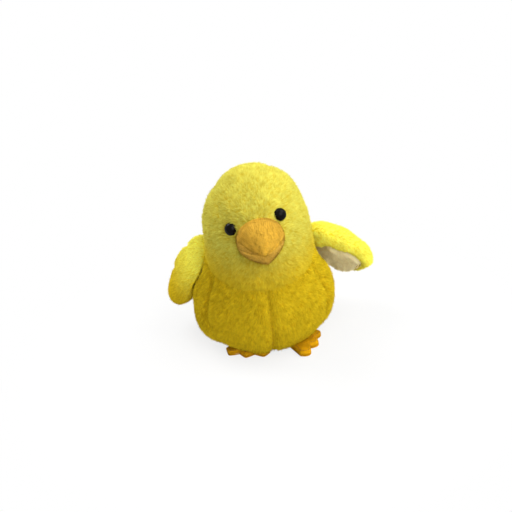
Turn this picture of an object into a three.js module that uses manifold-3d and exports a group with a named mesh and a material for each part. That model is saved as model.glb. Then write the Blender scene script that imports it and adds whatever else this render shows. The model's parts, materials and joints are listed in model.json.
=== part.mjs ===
// A sitting plush canary, made as a sewn toy is: skin panels over stuffing, bead eyes on shanks, and a
// stuffed beak, wings, feet and tail.
// Millimetres, +Z up. The bird faces -Y and its own left is +X. The origin is the middle of the flat base.

import * as THREE from "three";
import { mergeVertices } from "three/addons/utils/BufferGeometryUtils.js";
import Module from "manifold-3d";

const wasm = await Module();
wasm.setup();

// Cloth and clearances
const PLUSH = 3; // backing cloth and pile together
const VELOUR = 1.5; // short pile cloth of the beak and the tail
const SEAM_GAP = 0.3; // between pieces that are sewn together or lie on each other
const NECK_GAP = 0.7; // between the neck and what turns on it
const ROOT_STANDOFF = 0.8; // between the skin and the root edge of a wing

// Body
const BODY_WIDTH = 96;
const BODY_DEPTH = 88;
const BELLY_LEVEL = 33; // height of the widest ring
const BELLY_RISE = 30; // from the widest ring to where the belly's own curve would close above it
const BELLY_BLEND = 4; // how softly the belly runs into the shoulders
const BELLY_FULLNESS = 2.4; // power of the curve under the widest ring: 2 is an oval, more is squarer
const BASE_WIDTH = 54; // the flat base, across
const SIDE_SEAM = 57; // degrees from the front to each side seam
const BAG_WIDTH = 44; // the bag of pellets that weighs the toy down
const BAG_HEIGHT = 12;

// Neck
const NECK_LEVEL = 42; // height of the point that the head tips about
const SHOULDER_RADIUS = 40; // the round shoulders about that point
const NECK_CORE = 20; // radius of the wad of stuffing in the neck
const NECK_SEAM_LEVEL = 65; // at the sides
const NECK_SEAM_LEAN = 16; // degrees, lower at the front
const NECK_TUCK = 3.5; // degrees of shoulder that run on under the head's edge
const HEAD_TIP_ROOM = 13; // degrees that the neck leaves free for the head to tip
const HEAD_TILT = 8; // degrees that the wings leave free for the head to tilt
const HEAD_NOD = 5; // degrees that they leave free for it to nod
const HEAD_EDGE_GAP = 1.6; // between the shoulders and the head's inner face

// Head
const TOY_HEIGHT = 122;
const HEAD_WIDTH = 70;
const HEAD_DEPTH = 71;
const HEAD_LEVEL = 82; // where the dome of the crown begins
const HEAD_FORWARD = 3; // how far the head sits in front of the body's middle
const HEAD_FLARE = 1.5; // how much wider each side is at the neck seam
const GUSSET_WIDTH = 35; // the strip over the crown, with the eyes on its seams
const GUSSET_START = 7; // height of its front end over the start of the dome, behind the beak
const FACE_ROLL = 10; // degrees that the face is cocked, the bird's left eye higher

// Eyes
const EYE_WIDTH = 8;
const EYE_DOME = 4; // height of the bead over its flat back
const EYE_SINK = 1.5; // how far the bead presses the pile down
const EYE_SPACING = 32;
const EYE_RISE = 13.5; // over the start of the dome
const SHANK_WIDTH = 3;
const SHANK_LENGTH = 9;
const WASHER_WIDTH = 9;
const WASHER_THICKNESS = 1.5;

// Beak
const BEAK_WIDTH = 30;
const BEAK_LENGTH = 16;
const BEAK_OVERBITE = 3; // how much shorter the lower panel is
const BEAK_ABOVE = 13; // height of the upper panel over the mouth, at the root
const BEAK_BELOW = 12.5; // depth of the lower panel under the mouth, at the root
const BEAK_RISE = 3.5; // height of the mouth over the start of the dome
const BEAK_DROOP = 10; // degrees that the beak points down
const BEAK_ROOT = 10; // length that is cut away against the head

// Wings
const WING_LENGTH = 54;
const WING_LEAD = 19; // from the root's middle to the leading edge
const WING_TRAIL = 22; // from the root's middle to the trailing edge
const WING_ROOT = 18; // length of the sewn root
const WING_CROWN = 10; // swell of the outer face
const WING_HOLLOW = 7; // swell of the underside
const WING_WRAP = 9; // how far the outer panel wraps round the leading edge and the tip
const WING_LOBES = 3; // feather lobes along the trailing edge
const WING_LOBE_DEPTH = 2.5;
const WING_TURN = 120; // degrees from the front round to the wing's root
const WING_LEVEL = 62; // height of the root's middle
// How each wing is held, in degrees: tip down, trailing edge down, tip back, and how far it swings each way
const LEFT_WING_SET = { droop: 27, pitch: 46, sweep: -2, down: 8, up: 20 };
const RIGHT_WING_SET = { droop: 51, pitch: -14, sweep: 4, down: 0, up: 40 };

// Feet
const FOOT_CLOTH = 1.2; // felted cloth of the feet
const FOOT_LENGTH = 20; // from the middle of the fan of toes
const FOOT_ROOT = 10; // width across that middle
const FOOT_CROWN = 1.8; // swell of the upper
const TOE_SPREAD = 22; // degrees between toes
const TOE_NOTCH = 4; // depth of the notch between toes
// How each foot is held: degrees from the front round to its root, degrees that its toes point out, and how
// far the middle of its fan lies under the body, inside the base's edge
const LEFT_FOOT_SET = { turn: 33, splay: 62, tuck: 2 };
const RIGHT_FOOT_SET = { turn: 33, splay: 18, tuck: 8 };
// Further degrees that a foot bends up, until it meets the belly, and down
const FOOT_BEND = { up: 5, down: 20 };

// Tail
const TAIL_LENGTH = 32;
const TAIL_HALF = 13; // half its breadth
const TAIL_ROOT = 16;
const TAIL_CROWN = 4.5; // swell of the top
const TAIL_HOLLOW = 3.5; // swell of the underside
const TAIL_WRAP = 3; // how far the top panel wraps round the edge
const TAIL_LOBES = 2;
const TAIL_LOBE_DEPTH = 1.5;
const TAIL_LEVEL = 34;
const TAIL_SET = { lift: 15, down: 15, up: 30 }; // degrees, as for a wing

// Facets
const BODY_SPOKES = 32;
const BODY_RINGS = 12;
const HEAD_SPOKES = 28;
const HEAD_RINGS = 11;
const STUFFING_SHARE = 2; // skin spokes to each spoke of the stuffing
const BALL_SPOKES = 24;
const BALL_RINGS = 14;
const NECK_STEPS = 6;
const PAD_SPOKES = 20;
const PAD_EDGE = 2; // thickness of a pad at its rim
const PAD_HOLLOW_REACH = 0.76; // how far along its spokes a pad is hollow
const PAD_RINGS = [0.55, 0.85, 1]; // places along a pad's spoke, closer at its rounded edge
const BEAD_SPOKES = 14;
const BEAD_STEPS = 5;
const BEAK_SPOKES = 18;
const BEAK_RINGS = 7;

const FAR = 300; // reach of the cutting solids, past everything

const YELLOW = { color: 0xd9b91c, roughness: 0.95, metalness: 0 };
const PALE_YELLOW = { color: 0xdfc845, roughness: 0.95, metalness: 0 };
const VIVID_YELLOW = { color: 0xecd42c, roughness: 0.95, metalness: 0 };
const CREAM = { color: 0xe2d3a4, roughness: 0.95, metalness: 0 };
const ORANGE = { color: 0xd68a12, roughness: 0.9, metalness: 0 };
const PEACH = { color: 0xe0a14a, roughness: 0.9, metalness: 0 };
const PALE_PEACH = { color: 0xd9b06a, roughness: 0.9, metalness: 0 };
const WHITE_FIBRE = { color: 0xf2f0e8, roughness: 1, metalness: 0 };
const BAG_CLOTH = { color: 0xd8d4c8, roughness: 1, metalness: 0 };
const BLACK_BEAD = { color: 0x0a0908, roughness: 0.12, metalness: 0 };
const WASHER_WHITE = { color: 0xe8e8e4, roughness: 0.5, metalness: 0 };

const rad = THREE.MathUtils.degToRad;
const FULL_TURN = 2 * Math.PI;

// Closed mesh over rings that run counterclockwise seen from the top tip, listed from the bottom tip up
function skinOver(bottomTip, rings, topTip) {
  const count = rings[0].length;
  const points = [bottomTip, ...rings.flat(), topTip];
  const top = points.length - 1;
  const at = (ring, spoke) => 1 + ring * count + (spoke % count);
  const faces = [];
  for (let spoke = 0; spoke < count; spoke += 1) {
    faces.push(0, at(0, spoke + 1), at(0, spoke));
    faces.push(top, at(rings.length - 1, spoke), at(rings.length - 1, spoke + 1));
    for (let ring = 0; ring < rings.length - 1; ring += 1) {
      faces.push(at(ring, spoke), at(ring, spoke + 1), at(ring + 1, spoke));
      faces.push(at(ring, spoke + 1), at(ring + 1, spoke + 1), at(ring + 1, spoke));
    }
  }
  return new THREE.BufferGeometry().setFromPoints(points).setIndex(faces);
}

function solidOf(geometry) {
  const bare = new THREE.BufferGeometry();
  bare.setAttribute("position", geometry.getAttribute("position"));
  bare.setIndex(geometry.getIndex());
  const merged = mergeVertices(bare);
  const vertProperties = new Float32Array(merged.getAttribute("position").array);
  const triVerts = new Uint32Array(merged.getIndex().array);
  return new wasm.Manifold(new wasm.Mesh({ numProp: 3, vertProperties, triVerts }));
}

function meshOf(name, solid, look) {
  const { vertProperties, triVerts } = solid.getMesh();
  const geometry = new THREE.BufferGeometry();
  geometry.setAttribute("position", new THREE.BufferAttribute(vertProperties, 3));
  geometry.setIndex(new THREE.BufferAttribute(triVerts, 1));
  geometry.computeVertexNormals();
  const mesh = new THREE.Mesh(geometry, new THREE.MeshStandardMaterial(look));
  mesh.name = name;
  return mesh;
}

// The mirror image of a solid across the plane x = 0, its faces still pointing out
function mirrored(solid) {
  const { vertProperties, triVerts } = solid.getMesh();
  const across = vertProperties.map((value, i) => (i % 3 === 0 ? -value : value));
  const flipped = new wasm.Mesh({ numProp: 3, vertProperties: across, triVerts: triVerts.toReversed() });
  return new wasm.Manifold(flipped);
}

function joined(whole, piece) {
  return whole.add(piece);
}

function larger(a, b, blend) {
  return (a + b + Math.hypot(a - b, blend)) / 2;
}

// Share of its half width that an oval keeps at an offset from its widest level
function ovalShare(offset, reach, power = 2) {
  return Math.max(0, 1 - Math.abs(offset / reach) ** power) ** (1 / power);
}

function ringsOf(spokes, levels, point) {
  return levels.map((level) =>
    Array.from({ length: spokes }, (_, spoke) => point((FULL_TURN * spoke) / spokes, level)));
}

// The body's skin at a turn from the front and a height, moved in by an inset: an oval belly that runs
// into round shoulders
const BELLY_DROP = BELLY_LEVEL / ovalShare(BASE_WIDTH, BODY_WIDTH, BELLY_FULLNESS);
const NECK_POINT = new THREE.Vector3(0, 0, NECK_LEVEL);

function bodyPoint(turn, height, inset) {
  const offset = height - BELLY_LEVEL;
  const above = ovalShare(offset, BELLY_RISE - inset);
  const share = offset > 0 ? above : ovalShare(offset, BELLY_DROP - inset, BELLY_FULLNESS);
  const shoulder = SHOULDER_RADIUS - inset;
  const round = shoulder * ovalShare(height - NECK_LEVEL, shoulder);
  const across = larger((BODY_WIDTH / 2 - inset) * share, round, BELLY_BLEND);
  const deep = larger((BODY_DEPTH / 2 - inset) * share, round, BELLY_BLEND);
  return new THREE.Vector3(across * Math.sin(turn), -deep * Math.cos(turn), height);
}

function bodyForm(inset, spokes = BODY_SPOKES) {
  const top = NECK_LEVEL + SHOULDER_RADIUS - inset;
  const levels = Array.from({ length: BODY_RINGS }, (_, i) =>
    THREE.MathUtils.lerp(inset, top, (1 - Math.cos((Math.PI * i) / BODY_RINGS)) / 2));
  const rings = ringsOf(spokes, levels, (turn, level) => bodyPoint(turn, level, inset));
  return skinOver(new THREE.Vector3(0, 0, inset), rings, new THREE.Vector3(0, 0, top));
}

// The head's skin at a turn from the front and a height: a dome over sides that flare towards the neck
function headPoint(turn, height, inset) {
  const offset = height - HEAD_LEVEL;
  const dome = TOY_HEIGHT - HEAD_LEVEL - inset;
  const share = offset > 0 ? ovalShare(offset, dome) : 1;
  const flare = HEAD_FLARE * (Math.min(0, offset) / (HEAD_LEVEL - NECK_SEAM_LEVEL)) ** 2;
  const across = (HEAD_WIDTH / 2 - inset) * share + flare;
  const deep = (HEAD_DEPTH / 2 - inset) * share + flare;
  return new THREE.Vector3(across * Math.sin(turn), -HEAD_FORWARD - deep * Math.cos(turn), height);
}

function headForm(inset, spokes = HEAD_SPOKES) {
  const top = TOY_HEIGHT - inset;
  const levels = Array.from({ length: HEAD_RINGS }, (_, i) =>
    THREE.MathUtils.lerp(NECK_LEVEL, top, Math.sin((Math.PI / 2) * (i / HEAD_RINGS))));
  const rings = ringsOf(spokes, levels, (turn, level) => headPoint(turn, level, inset));
  const middle = (height) => new THREE.Vector3(0, -HEAD_FORWARD, height);
  return skinOver(middle(NECK_LEVEL), rings, middle(top));
}

// The way out of a skin at one spot
function outward(point, turn, height) {
  const step = 0.01;
  const along = point(turn + step, height, 0).sub(point(turn - step, height, 0));
  const up = point(turn, height + step, 0).sub(point(turn, height - step, 0));
  return along.cross(up).normalize();
}

// Everything between two upright planes through the middle, given as turns from the front, each moved in by
// half a seam gap
function wedgeBetween(from, to) {
  const half = rad(to - from) / 2;
  const middle = rad(from) + half;
  const apex = SEAM_GAP / 2 / Math.sin(half);
  const corner = (reach, turn) => new THREE.Vector2(reach * Math.sin(turn), -reach * Math.cos(turn));
  const tip = corner(apex, middle);
  const ends = [-half, -half / 3, half / 3, half].map((turn) => corner(FAR, middle + turn).add(tip));
  const wedge = new THREE.Shape([tip, ...ends]);
  return new THREE.ExtrudeGeometry(wedge, { depth: FAR, bevelEnabled: false });
}

// Body: panels, base, pellet bag and stuffing
const NECK_LEAN = new THREE.Matrix4().makeRotationX(rad(NECK_SEAM_LEAN));
const HEAD_SOCKET = SHOULDER_RADIUS + HEAD_EDGE_GAP;
const SEAM_OVER_NECK = (NECK_SEAM_LEVEL - NECK_LEVEL) * Math.cos(rad(NECK_SEAM_LEAN));
const NECK_OPENING = Math.acos(SEAM_OVER_NECK / SHOULDER_RADIUS) - rad(NECK_TUCK);

// Lathe profile in the neck's own frame: a core, a straight side at one angle from the axis and a round cap
function neckProfile(core, angle, cap) {
  const arc = (radius, from, to) => Array.from({ length: NECK_STEPS + 1 }, (_, i) => {
    const turn = THREE.MathUtils.lerp(from, to, i / NECK_STEPS);
    return new THREE.Vector2(radius * Math.sin(turn), radius * Math.cos(turn));
  });
  return [...arc(core, Math.PI, angle), ...arc(cap, angle, 0)];
}

function neckForm(core, angle, cap) {
  const form = new THREE.LatheGeometry(neckProfile(core, angle, cap), BALL_SPOKES);
  return form.rotateX(Math.PI / 2).applyMatrix4(NECK_LEAN).translate(...NECK_POINT);
}

function bodyParts() {
  const neckRoom = solidOf(neckForm(NECK_CORE + NECK_GAP, NECK_OPENING, FAR));
  const shell = solidOf(bodyForm(0)).subtract(solidOf(bodyForm(PLUSH))).subtract(neckRoom);
  const basePost = (gap) => {
    const half = BASE_WIDTH / 2 + gap;
    const post = new THREE.CylinderGeometry(half, half, 2 * PLUSH, BODY_SPOKES);
    return solidOf(post.rotateX(Math.PI / 2).scale(1, BODY_DEPTH / BODY_WIDTH, 1));
  };
  const sides = shell.subtract(basePost(SEAM_GAP / 2));
  const panel = (name, from, to) => meshOf(name, sides.intersect(solidOf(wedgeBetween(from, to))), YELLOW);
  const bagForm = (gap) => {
    const half = BAG_WIDTH / 2 + gap;
    const floor = PLUSH + SEAM_GAP - gap;
    const rise = BAG_HEIGHT + 2 * gap;
    const side = Array.from({ length: NECK_STEPS + 1 }, (_, i) => {
      const turn = (Math.PI / 2) * (i / NECK_STEPS);
      return new THREE.Vector2(half * Math.cos(turn), floor + rise * Math.sin(turn));
    });
    const bag = new THREE.LatheGeometry([new THREE.Vector2(0, floor), ...side], BODY_SPOKES / STUFFING_SHARE);
    return solidOf(bag.rotateX(Math.PI / 2));
  };
  const inside = solidOf(bodyForm(PLUSH + SEAM_GAP, BODY_SPOKES / STUFFING_SHARE));
  return [
    panel("belly_panel_left", 0, SIDE_SEAM),
    panel("back_panel_left", SIDE_SEAM, 180),
    panel("back_panel_right", -180, -SIDE_SEAM),
    panel("belly_panel_right", -SIDE_SEAM, 0),
    meshOf("base_panel", shell.intersect(basePost(-SEAM_GAP / 2)), YELLOW),
    meshOf("pellet_bag", bagForm(0), BAG_CLOTH),
    meshOf("body_stuffing", inside.subtract(neckRoom).subtract(bagForm(SEAM_GAP)), WHITE_FIBRE),
  ];
}

// Neck: a wad with a round cap that the head's stuffing sits on, free to tip inside the body's opening
function neckParts() {
  const wad = neckForm(NECK_CORE, NECK_OPENING - rad(HEAD_TIP_ROOM), HEAD_SOCKET - NECK_GAP);
  return [meshOf("neck_stuffing", solidOf(wad), WHITE_FIBRE)];
}

// Head: panels, crown strip and stuffing
const FACE_CENTRE = new THREE.Vector3(0, -HEAD_FORWARD, HEAD_LEVEL);
const FACE_COCK = new THREE.Matrix4().makeRotationY(-rad(FACE_ROLL));
const FACE_FRAME = new THREE.Matrix4().makeTranslation(FACE_CENTRE).multiply(FACE_COCK);

// The strip over the crown, from over the beak to the nape, grown by a gap
function gussetRoom(gap) {
  const start = GUSSET_START - gap;
  const outline = new THREE.Shape();
  outline.moveTo(-FAR, start);
  outline.lineTo(-gap, start);
  outline.lineTo(-gap, -FAR);
  outline.lineTo(FAR, -FAR);
  outline.lineTo(FAR, FAR);
  outline.lineTo(-FAR, FAR);
  const width = GUSSET_WIDTH + 2 * gap;
  const strip = new THREE.ExtrudeGeometry(outline, { depth: width, bevelEnabled: false });
  const upright = new THREE.Matrix4().makeBasis(
    new THREE.Vector3(0, 1, 0), new THREE.Vector3(0, 0, 1), new THREE.Vector3(1, 0, 0));
  return solidOf(strip.translate(0, 0, -width / 2).applyMatrix4(upright).applyMatrix4(FACE_FRAME));
}

// Everything above the neck seam's plane, moved up by a rise
function aboveSeam(rise) {
  const block = new THREE.BoxGeometry(FAR, FAR, FAR).translate(0, 0, FAR / 2 + SEAM_OVER_NECK + rise);
  return block.applyMatrix4(NECK_LEAN).translate(...NECK_POINT);
}

// The room that the head takes when it is tilted and nodded by some degrees, in the frame of another piece
function tippedHead(tilt, nod, frame) {
  const about = new THREE.Matrix4().makeTranslation(NECK_POINT);
  about.multiply(new THREE.Matrix4().makeRotationY(rad(tilt)));
  about.multiply(new THREE.Matrix4().makeRotationX(rad(nod)));
  about.multiply(new THREE.Matrix4().makeTranslation(NECK_POINT.clone().negate()));
  const seen = frame.clone().invert().multiply(about);
  const skin = solidOf(headForm(-SEAM_GAP).applyMatrix4(seen));
  return skin.intersect(solidOf(aboveSeam(-SEAM_GAP).applyMatrix4(seen)));
}

function faceHalf(side) {
  const half = new THREE.BoxGeometry(FAR, 2 * FAR, 2 * FAR).translate(side * (FAR + SEAM_GAP) / 2, 0, 0);
  return solidOf(half);
}

// Where a spot of the face lies on the head, given across and up from the middle of the face
function faceSpot(across, rise) {
  const spot = new THREE.Vector3(across, 0, rise).applyMatrix4(FACE_COCK);
  const height = HEAD_LEVEL + spot.z;
  const turn = Math.asin(spot.x / headPoint(Math.PI / 2, height, 0).x);
  const normal = outward(headPoint, turn, height);
  return { point: headPoint(turn, height, 0), normal };
}

function eyeFrame(side) {
  const { point, normal } = faceSpot(side * EYE_SPACING / 2, EYE_RISE);
  const turn = new THREE.Quaternion().setFromUnitVectors(new THREE.Vector3(0, 1, 0), normal);
  return new THREE.Matrix4().compose(point, turn, new THREE.Vector3(1, 1, 1));
}

// Lathe profiles of an eye, its washer and the room they take, along the way out of the cloth
const EYE_BACK = SEAM_GAP - EYE_SINK;
const SHANK_END = EYE_BACK - SHANK_LENGTH;
const WASHER_FACE = -PLUSH - SEAM_GAP;

function eyeForm() {
  const dome = Array.from({ length: BEAD_STEPS + 1 }, (_, i) => {
    const turn = (Math.PI / 2) * (i / BEAD_STEPS);
    return new THREE.Vector2((EYE_WIDTH / 2) * Math.cos(turn), EYE_BACK + EYE_DOME * Math.sin(turn));
  });
  const shank = SHANK_WIDTH / 2;
  const stem = [[0, SHANK_END], [shank, SHANK_END], [shank, EYE_BACK]].map((p) => new THREE.Vector2(...p));
  return new THREE.LatheGeometry([...stem, ...dome], BEAD_SPOKES);
}

function washerForm() {
  const inner = SHANK_WIDTH / 2 + SEAM_GAP;
  const outer = WASHER_WIDTH / 2;
  const back = WASHER_FACE - WASHER_THICKNESS;
  const ring = [[inner, back], [outer, back], [outer, WASHER_FACE], [inner, WASHER_FACE], [inner, back]];
  return new THREE.LatheGeometry(ring.map((p) => new THREE.Vector2(...p)), BEAD_SPOKES);
}

function roomForm(steps) {
  const profile = steps.map((p) => new THREE.Vector2(...p));
  return new THREE.LatheGeometry(profile, BEAD_SPOKES);
}

// The pressed seat of the bead in the pile, the hole for its shank and the place where the washer bears
function eyeSeat() {
  const shank = SHANK_WIDTH / 2 + SEAM_GAP;
  const washer = WASHER_WIDTH / 2 + SEAM_GAP;
  const seat = EYE_WIDTH / 2 + SEAM_GAP;
  const floor = EYE_BACK - SEAM_GAP;
  const behind = WASHER_FACE - PLUSH;
  const bearing = WASHER_FACE + SEAM_GAP;
  return roomForm([
    [0, behind], [washer, behind], [washer, bearing], [shank, bearing],
    [shank, floor], [seat, floor], [seat, PLUSH], [0, PLUSH],
  ]);
}

// The room in the stuffing for the washer and the end of the shank
function washerRoom() {
  const shank = SHANK_WIDTH / 2 + SEAM_GAP;
  const washer = WASHER_WIDTH / 2 + SEAM_GAP;
  const end = SHANK_END - SEAM_GAP;
  const back = WASHER_FACE - WASHER_THICKNESS - SEAM_GAP;
  return roomForm([[0, end], [shank, end], [shank, back], [washer, back], [washer, 0], [0, 0]]);
}

function headParts() {
  const socket = new THREE.SphereGeometry(HEAD_SOCKET, BALL_SPOKES, BALL_RINGS).translate(...NECK_POINT);
  const neck = solidOf(socket);
  const whole = solidOf(headForm(0)).subtract(solidOf(headForm(PLUSH))).subtract(neck);
  const shell = whole.intersect(solidOf(aboveSeam(SEAM_GAP)));
  const sides = shell.subtract(gussetRoom(SEAM_GAP / 2));
  const stuffing = solidOf(headForm(PLUSH + SEAM_GAP, HEAD_SPOKES / STUFFING_SHARE));
  let filled = stuffing.subtract(neck).intersect(solidOf(aboveSeam(PLUSH)));
  let gusset = shell.intersect(gussetRoom(-SEAM_GAP / 2));
  const parts = [];
  for (const [side, hand] of [[1, "left"], [-1, "right"]]) {
    const frame = eyeFrame(side);
    const seat = solidOf(eyeSeat().applyMatrix4(frame));
    gusset = gusset.subtract(seat);
    parts.push(meshOf(`head_panel_${hand}`, sides.intersect(faceHalf(side)).subtract(seat), PALE_YELLOW));
    parts.push(placed(meshOf(`eye_${hand}`, solidOf(eyeForm()), BLACK_BEAD), frame));
    parts.push(placed(meshOf(`eye_washer_${hand}`, solidOf(washerForm()), WASHER_WHITE), frame));
    filled = filled.subtract(solidOf(washerRoom().applyMatrix4(frame)));
  }
  parts.push(meshOf("crown_gusset", gusset, PALE_YELLOW), meshOf("head_stuffing", filled, WHITE_FIBRE));
  return parts;
}

function placed(mesh, frame) {
  frame.decompose(mesh.position, mesh.quaternion, mesh.scale);
  return mesh;
}

// Beak: along its own -Y, a rounded cone whose sections are half ovals above and below the mouth
function beakForm(inset) {
  const length = BEAK_LENGTH - inset;
  const levels = Array.from({ length: BEAK_RINGS }, (_, i) => Math.sin((Math.PI / 2) * (i / BEAK_RINGS)));
  const section = (level) => Array.from({ length: BEAK_SPOKES }, (_, spoke) => {
    const turn = (FULL_TURN * spoke) / BEAK_SPOKES;
    const share = ovalShare(level, 1);
    const tall = Math.sin(turn) > 0 ? BEAK_ABOVE : BEAK_BELOW;
    const reach = length - BEAK_OVERBITE * Math.max(0, -Math.sin(turn));
    const across = (BEAK_WIDTH / 2 - inset) * share * Math.cos(turn);
    return new THREE.Vector3(across, -reach * level, (tall - inset) * share * Math.sin(turn));
  });
  const root = section(0).map((point) => point.setY(BEAK_ROOT));
  const rings = [root, ...levels.map(section)];
  const tip = new THREE.Vector3(0, -length, 0);
  return skinOver(new THREE.Vector3(0, BEAK_ROOT, 0), rings, tip);
}

function beakParts() {
  const { point } = faceSpot(0, BEAK_RISE);
  const droop = new THREE.Matrix4().makeRotationX(rad(BEAK_DROOP));
  const frame = new THREE.Matrix4().makeTranslation(point).multiply(FACE_COCK).multiply(droop);
  const head = solidOf(headForm(-SEAM_GAP).applyMatrix4(frame.clone().invert()));
  const cone = (inset) => solidOf(beakForm(inset)).subtract(head);
  const shell = cone(0).subtract(solidOf(beakForm(VELOUR)));
  const half = (side) => {
    const block = new THREE.BoxGeometry(FAR, FAR, FAR).translate(0, 0, side * (FAR + SEAM_GAP) / 2);
    return solidOf(block);
  };
  return [
    placed(meshOf("beak_upper", shell.intersect(half(1)), PEACH), frame),
    placed(meshOf("beak_lower", shell.intersect(half(-1)), PALE_PEACH), frame),
    placed(meshOf("beak_stuffing", cone(VELOUR + SEAM_GAP), WHITE_FIBRE), frame),
  ];
}

// A pad over a flat outline: spokes run from its middle to the outline, and each face is a height over them
function padForm(outline, middle, lower, upper, reach = 1) {
  const ringAt = (share, height) => outline.map((edge) => {
    const spot = new THREE.Vector2().lerpVectors(middle, edge, share * reach);
    return new THREE.Vector3(spot.x, spot.y, height(share * reach));
  });
  const below = PAD_RINGS.map((share) => ringAt(share, lower));
  const above = PAD_RINGS.map((share) => ringAt(share, upper)).reverse();
  const tip = (height) => new THREE.Vector3(middle.x, middle.y, height(0));
  return skinOver(tip(lower), [...below, ...above], tip(upper));
}

function padSwell(share) {
  return Math.sqrt(1 - share ** 4);
}

// A leaf outline along +X from a straight root at x = 0, with feather lobes along its trailing edge, +Y
function leafOutline({ length, lead, trail, root, lobes, lobeDepth }) {
  return Array.from({ length: PAD_SPOKES }, (_, spoke) => {
    const turn = (FULL_TURN * (spoke + 0.5)) / PAD_SPOKES;
    const along = (1 - Math.cos(turn)) / 2;
    const front = turn < Math.PI;
    const swell = ((front ? lead : trail) - root / 4) * Math.abs(Math.sin(turn));
    const half = (root / 2) * (1 - along) + swell;
    const lobe = lobeDepth * along * Math.abs(Math.sin(lobes * Math.PI * along));
    return new THREE.Vector2(length * along, front ? -half : half + lobe);
  });
}

// A stuffed leaf: an outer panel that wraps round the leading edge and the tip, an underside panel inside
// that wrap, and stuffing
function stuffedLeaf(leaf, { crown, hollow, wrap, cloth }) {
  const outline = leafOutline(leaf);
  const middle = new THREE.Vector2(leaf.length / 2, 0);
  const face = (swell, inset) => (share) => PAD_EDGE / 2 + swell * padSwell(share) - inset;
  const lens = (inset, reach) => {
    const below = face(hollow, inset);
    return padForm(outline, middle, (share) => -below(share), face(crown, inset), reach);
  };
  const fillReach = PAD_HOLLOW_REACH - (2 * SEAM_GAP) / Math.min(leaf.lead, leaf.trail);
  const shell = solidOf(lens(0, 1)).subtract(solidOf(lens(cloth, PAD_HOLLOW_REACH)));
  const underRoom = (gap) => {
    const inner = { length: leaf.length - wrap + gap, lead: leaf.lead - wrap + gap };
    const shape = new THREE.Shape(leafOutline({ ...leaf, ...inner, trail: FAR, lobeDepth: 0 }));
    const block = new THREE.ExtrudeGeometry(shape, { depth: FAR, bevelEnabled: false });
    return solidOf(block.translate(0, 0, gap - FAR));
  };
  return {
    top: shell.subtract(underRoom(SEAM_GAP / 2)),
    underside: shell.intersect(underRoom(-SEAM_GAP / 2)),
    stuffing: solidOf(lens(cloth + SEAM_GAP, fillReach)),
  };
}

// Wings
function wingFrame(side, set) {
  const turn = side * rad(WING_TURN);
  const out = outward(bodyPoint, turn, WING_LEVEL);
  const root = bodyPoint(turn, WING_LEVEL, 0).addScaledVector(out, ROOT_STANDOFF);
  const held = new THREE.Euler(-rad(set.pitch), side * rad(set.droop), side * rad(set.sweep), "ZYX");
  const turned = new THREE.Quaternion().setFromEuler(held);
  return new THREE.Matrix4().compose(root, turned, new THREE.Vector3(1, 1, 1));
}

// The room that the body and the head, upright or tipped towards one side, take wherever a leaf swings
function swingRoom(frame, side, { down, up }) {
  const rooms = [-down, 0, up].flatMap((swing) => {
    const swung = frame.clone().multiply(new THREE.Matrix4().makeRotationY(-side * rad(swing)));
    const body = solidOf(bodyForm(-SEAM_GAP).applyMatrix4(swung.clone().invert()));
    const heads = [-HEAD_NOD, HEAD_NOD].flatMap((nod) =>
      [0, side * HEAD_TILT].map((tilt) => tippedHead(tilt, nod, swung)));
    return [body, ...heads];
  });
  return rooms.reduce(joined);
}

function leafMeshes(name, solids, frame, room) {
  const looks = { top: VIVID_YELLOW, underside: CREAM, stuffing: WHITE_FIBRE };
  return Object.entries(solids).map(([piece, solid]) =>
    placed(meshOf(`${name}_${piece}`, solid.subtract(room), looks[piece]), frame));
}

function wingParts(side, hand, set) {
  const leaf = {
    length: WING_LENGTH, lead: WING_LEAD, trail: WING_TRAIL, root: WING_ROOT,
    lobes: WING_LOBES, lobeDepth: WING_LOBE_DEPTH,
  };
  const make = { crown: WING_CROWN, hollow: WING_HOLLOW, wrap: WING_WRAP, cloth: PLUSH };
  const solids = stuffedLeaf(leaf, make);
  const handed = Object.fromEntries(Object.entries(solids).map(([piece, solid]) =>
    [piece, side > 0 ? solid : mirrored(solid)]));
  const frame = wingFrame(side, set);
  return leafMeshes(`wing_${hand}`, handed, frame, swingRoom(frame, side, set));
}

// Feet: a fan of three toes towards -Y, which bends at the base's edge, y = 0
function footOutline(tuck) {
  const reach = 1.5 * TOE_SPREAD;
  const toes = Array.from({ length: PAD_SPOKES }, (_, spoke) => {
    const turn = THREE.MathUtils.lerp(-reach, reach, spoke / (PAD_SPOKES - 1));
    const notch = TOE_NOTCH * Math.sin((Math.PI * turn) / TOE_SPREAD) ** 2;
    const heel = (FOOT_ROOT / 2) * (turn / reach);
    const toe = FOOT_LENGTH - notch;
    return new THREE.Vector2(heel + toe * Math.sin(rad(turn)), tuck - toe * Math.cos(rad(turn)));
  });
  return [...toes, new THREE.Vector2(FOOT_ROOT / 2, tuck), new THREE.Vector2(-FOOT_ROOT / 2, tuck)];
}

function footFrame(side, set) {
  const root = bodyPoint(side * rad(set.turn), 0, 0);
  const turned = new THREE.Matrix4().makeRotationZ(side * rad(set.splay));
  return new THREE.Matrix4().makeTranslation(root).multiply(turned);
}

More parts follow.
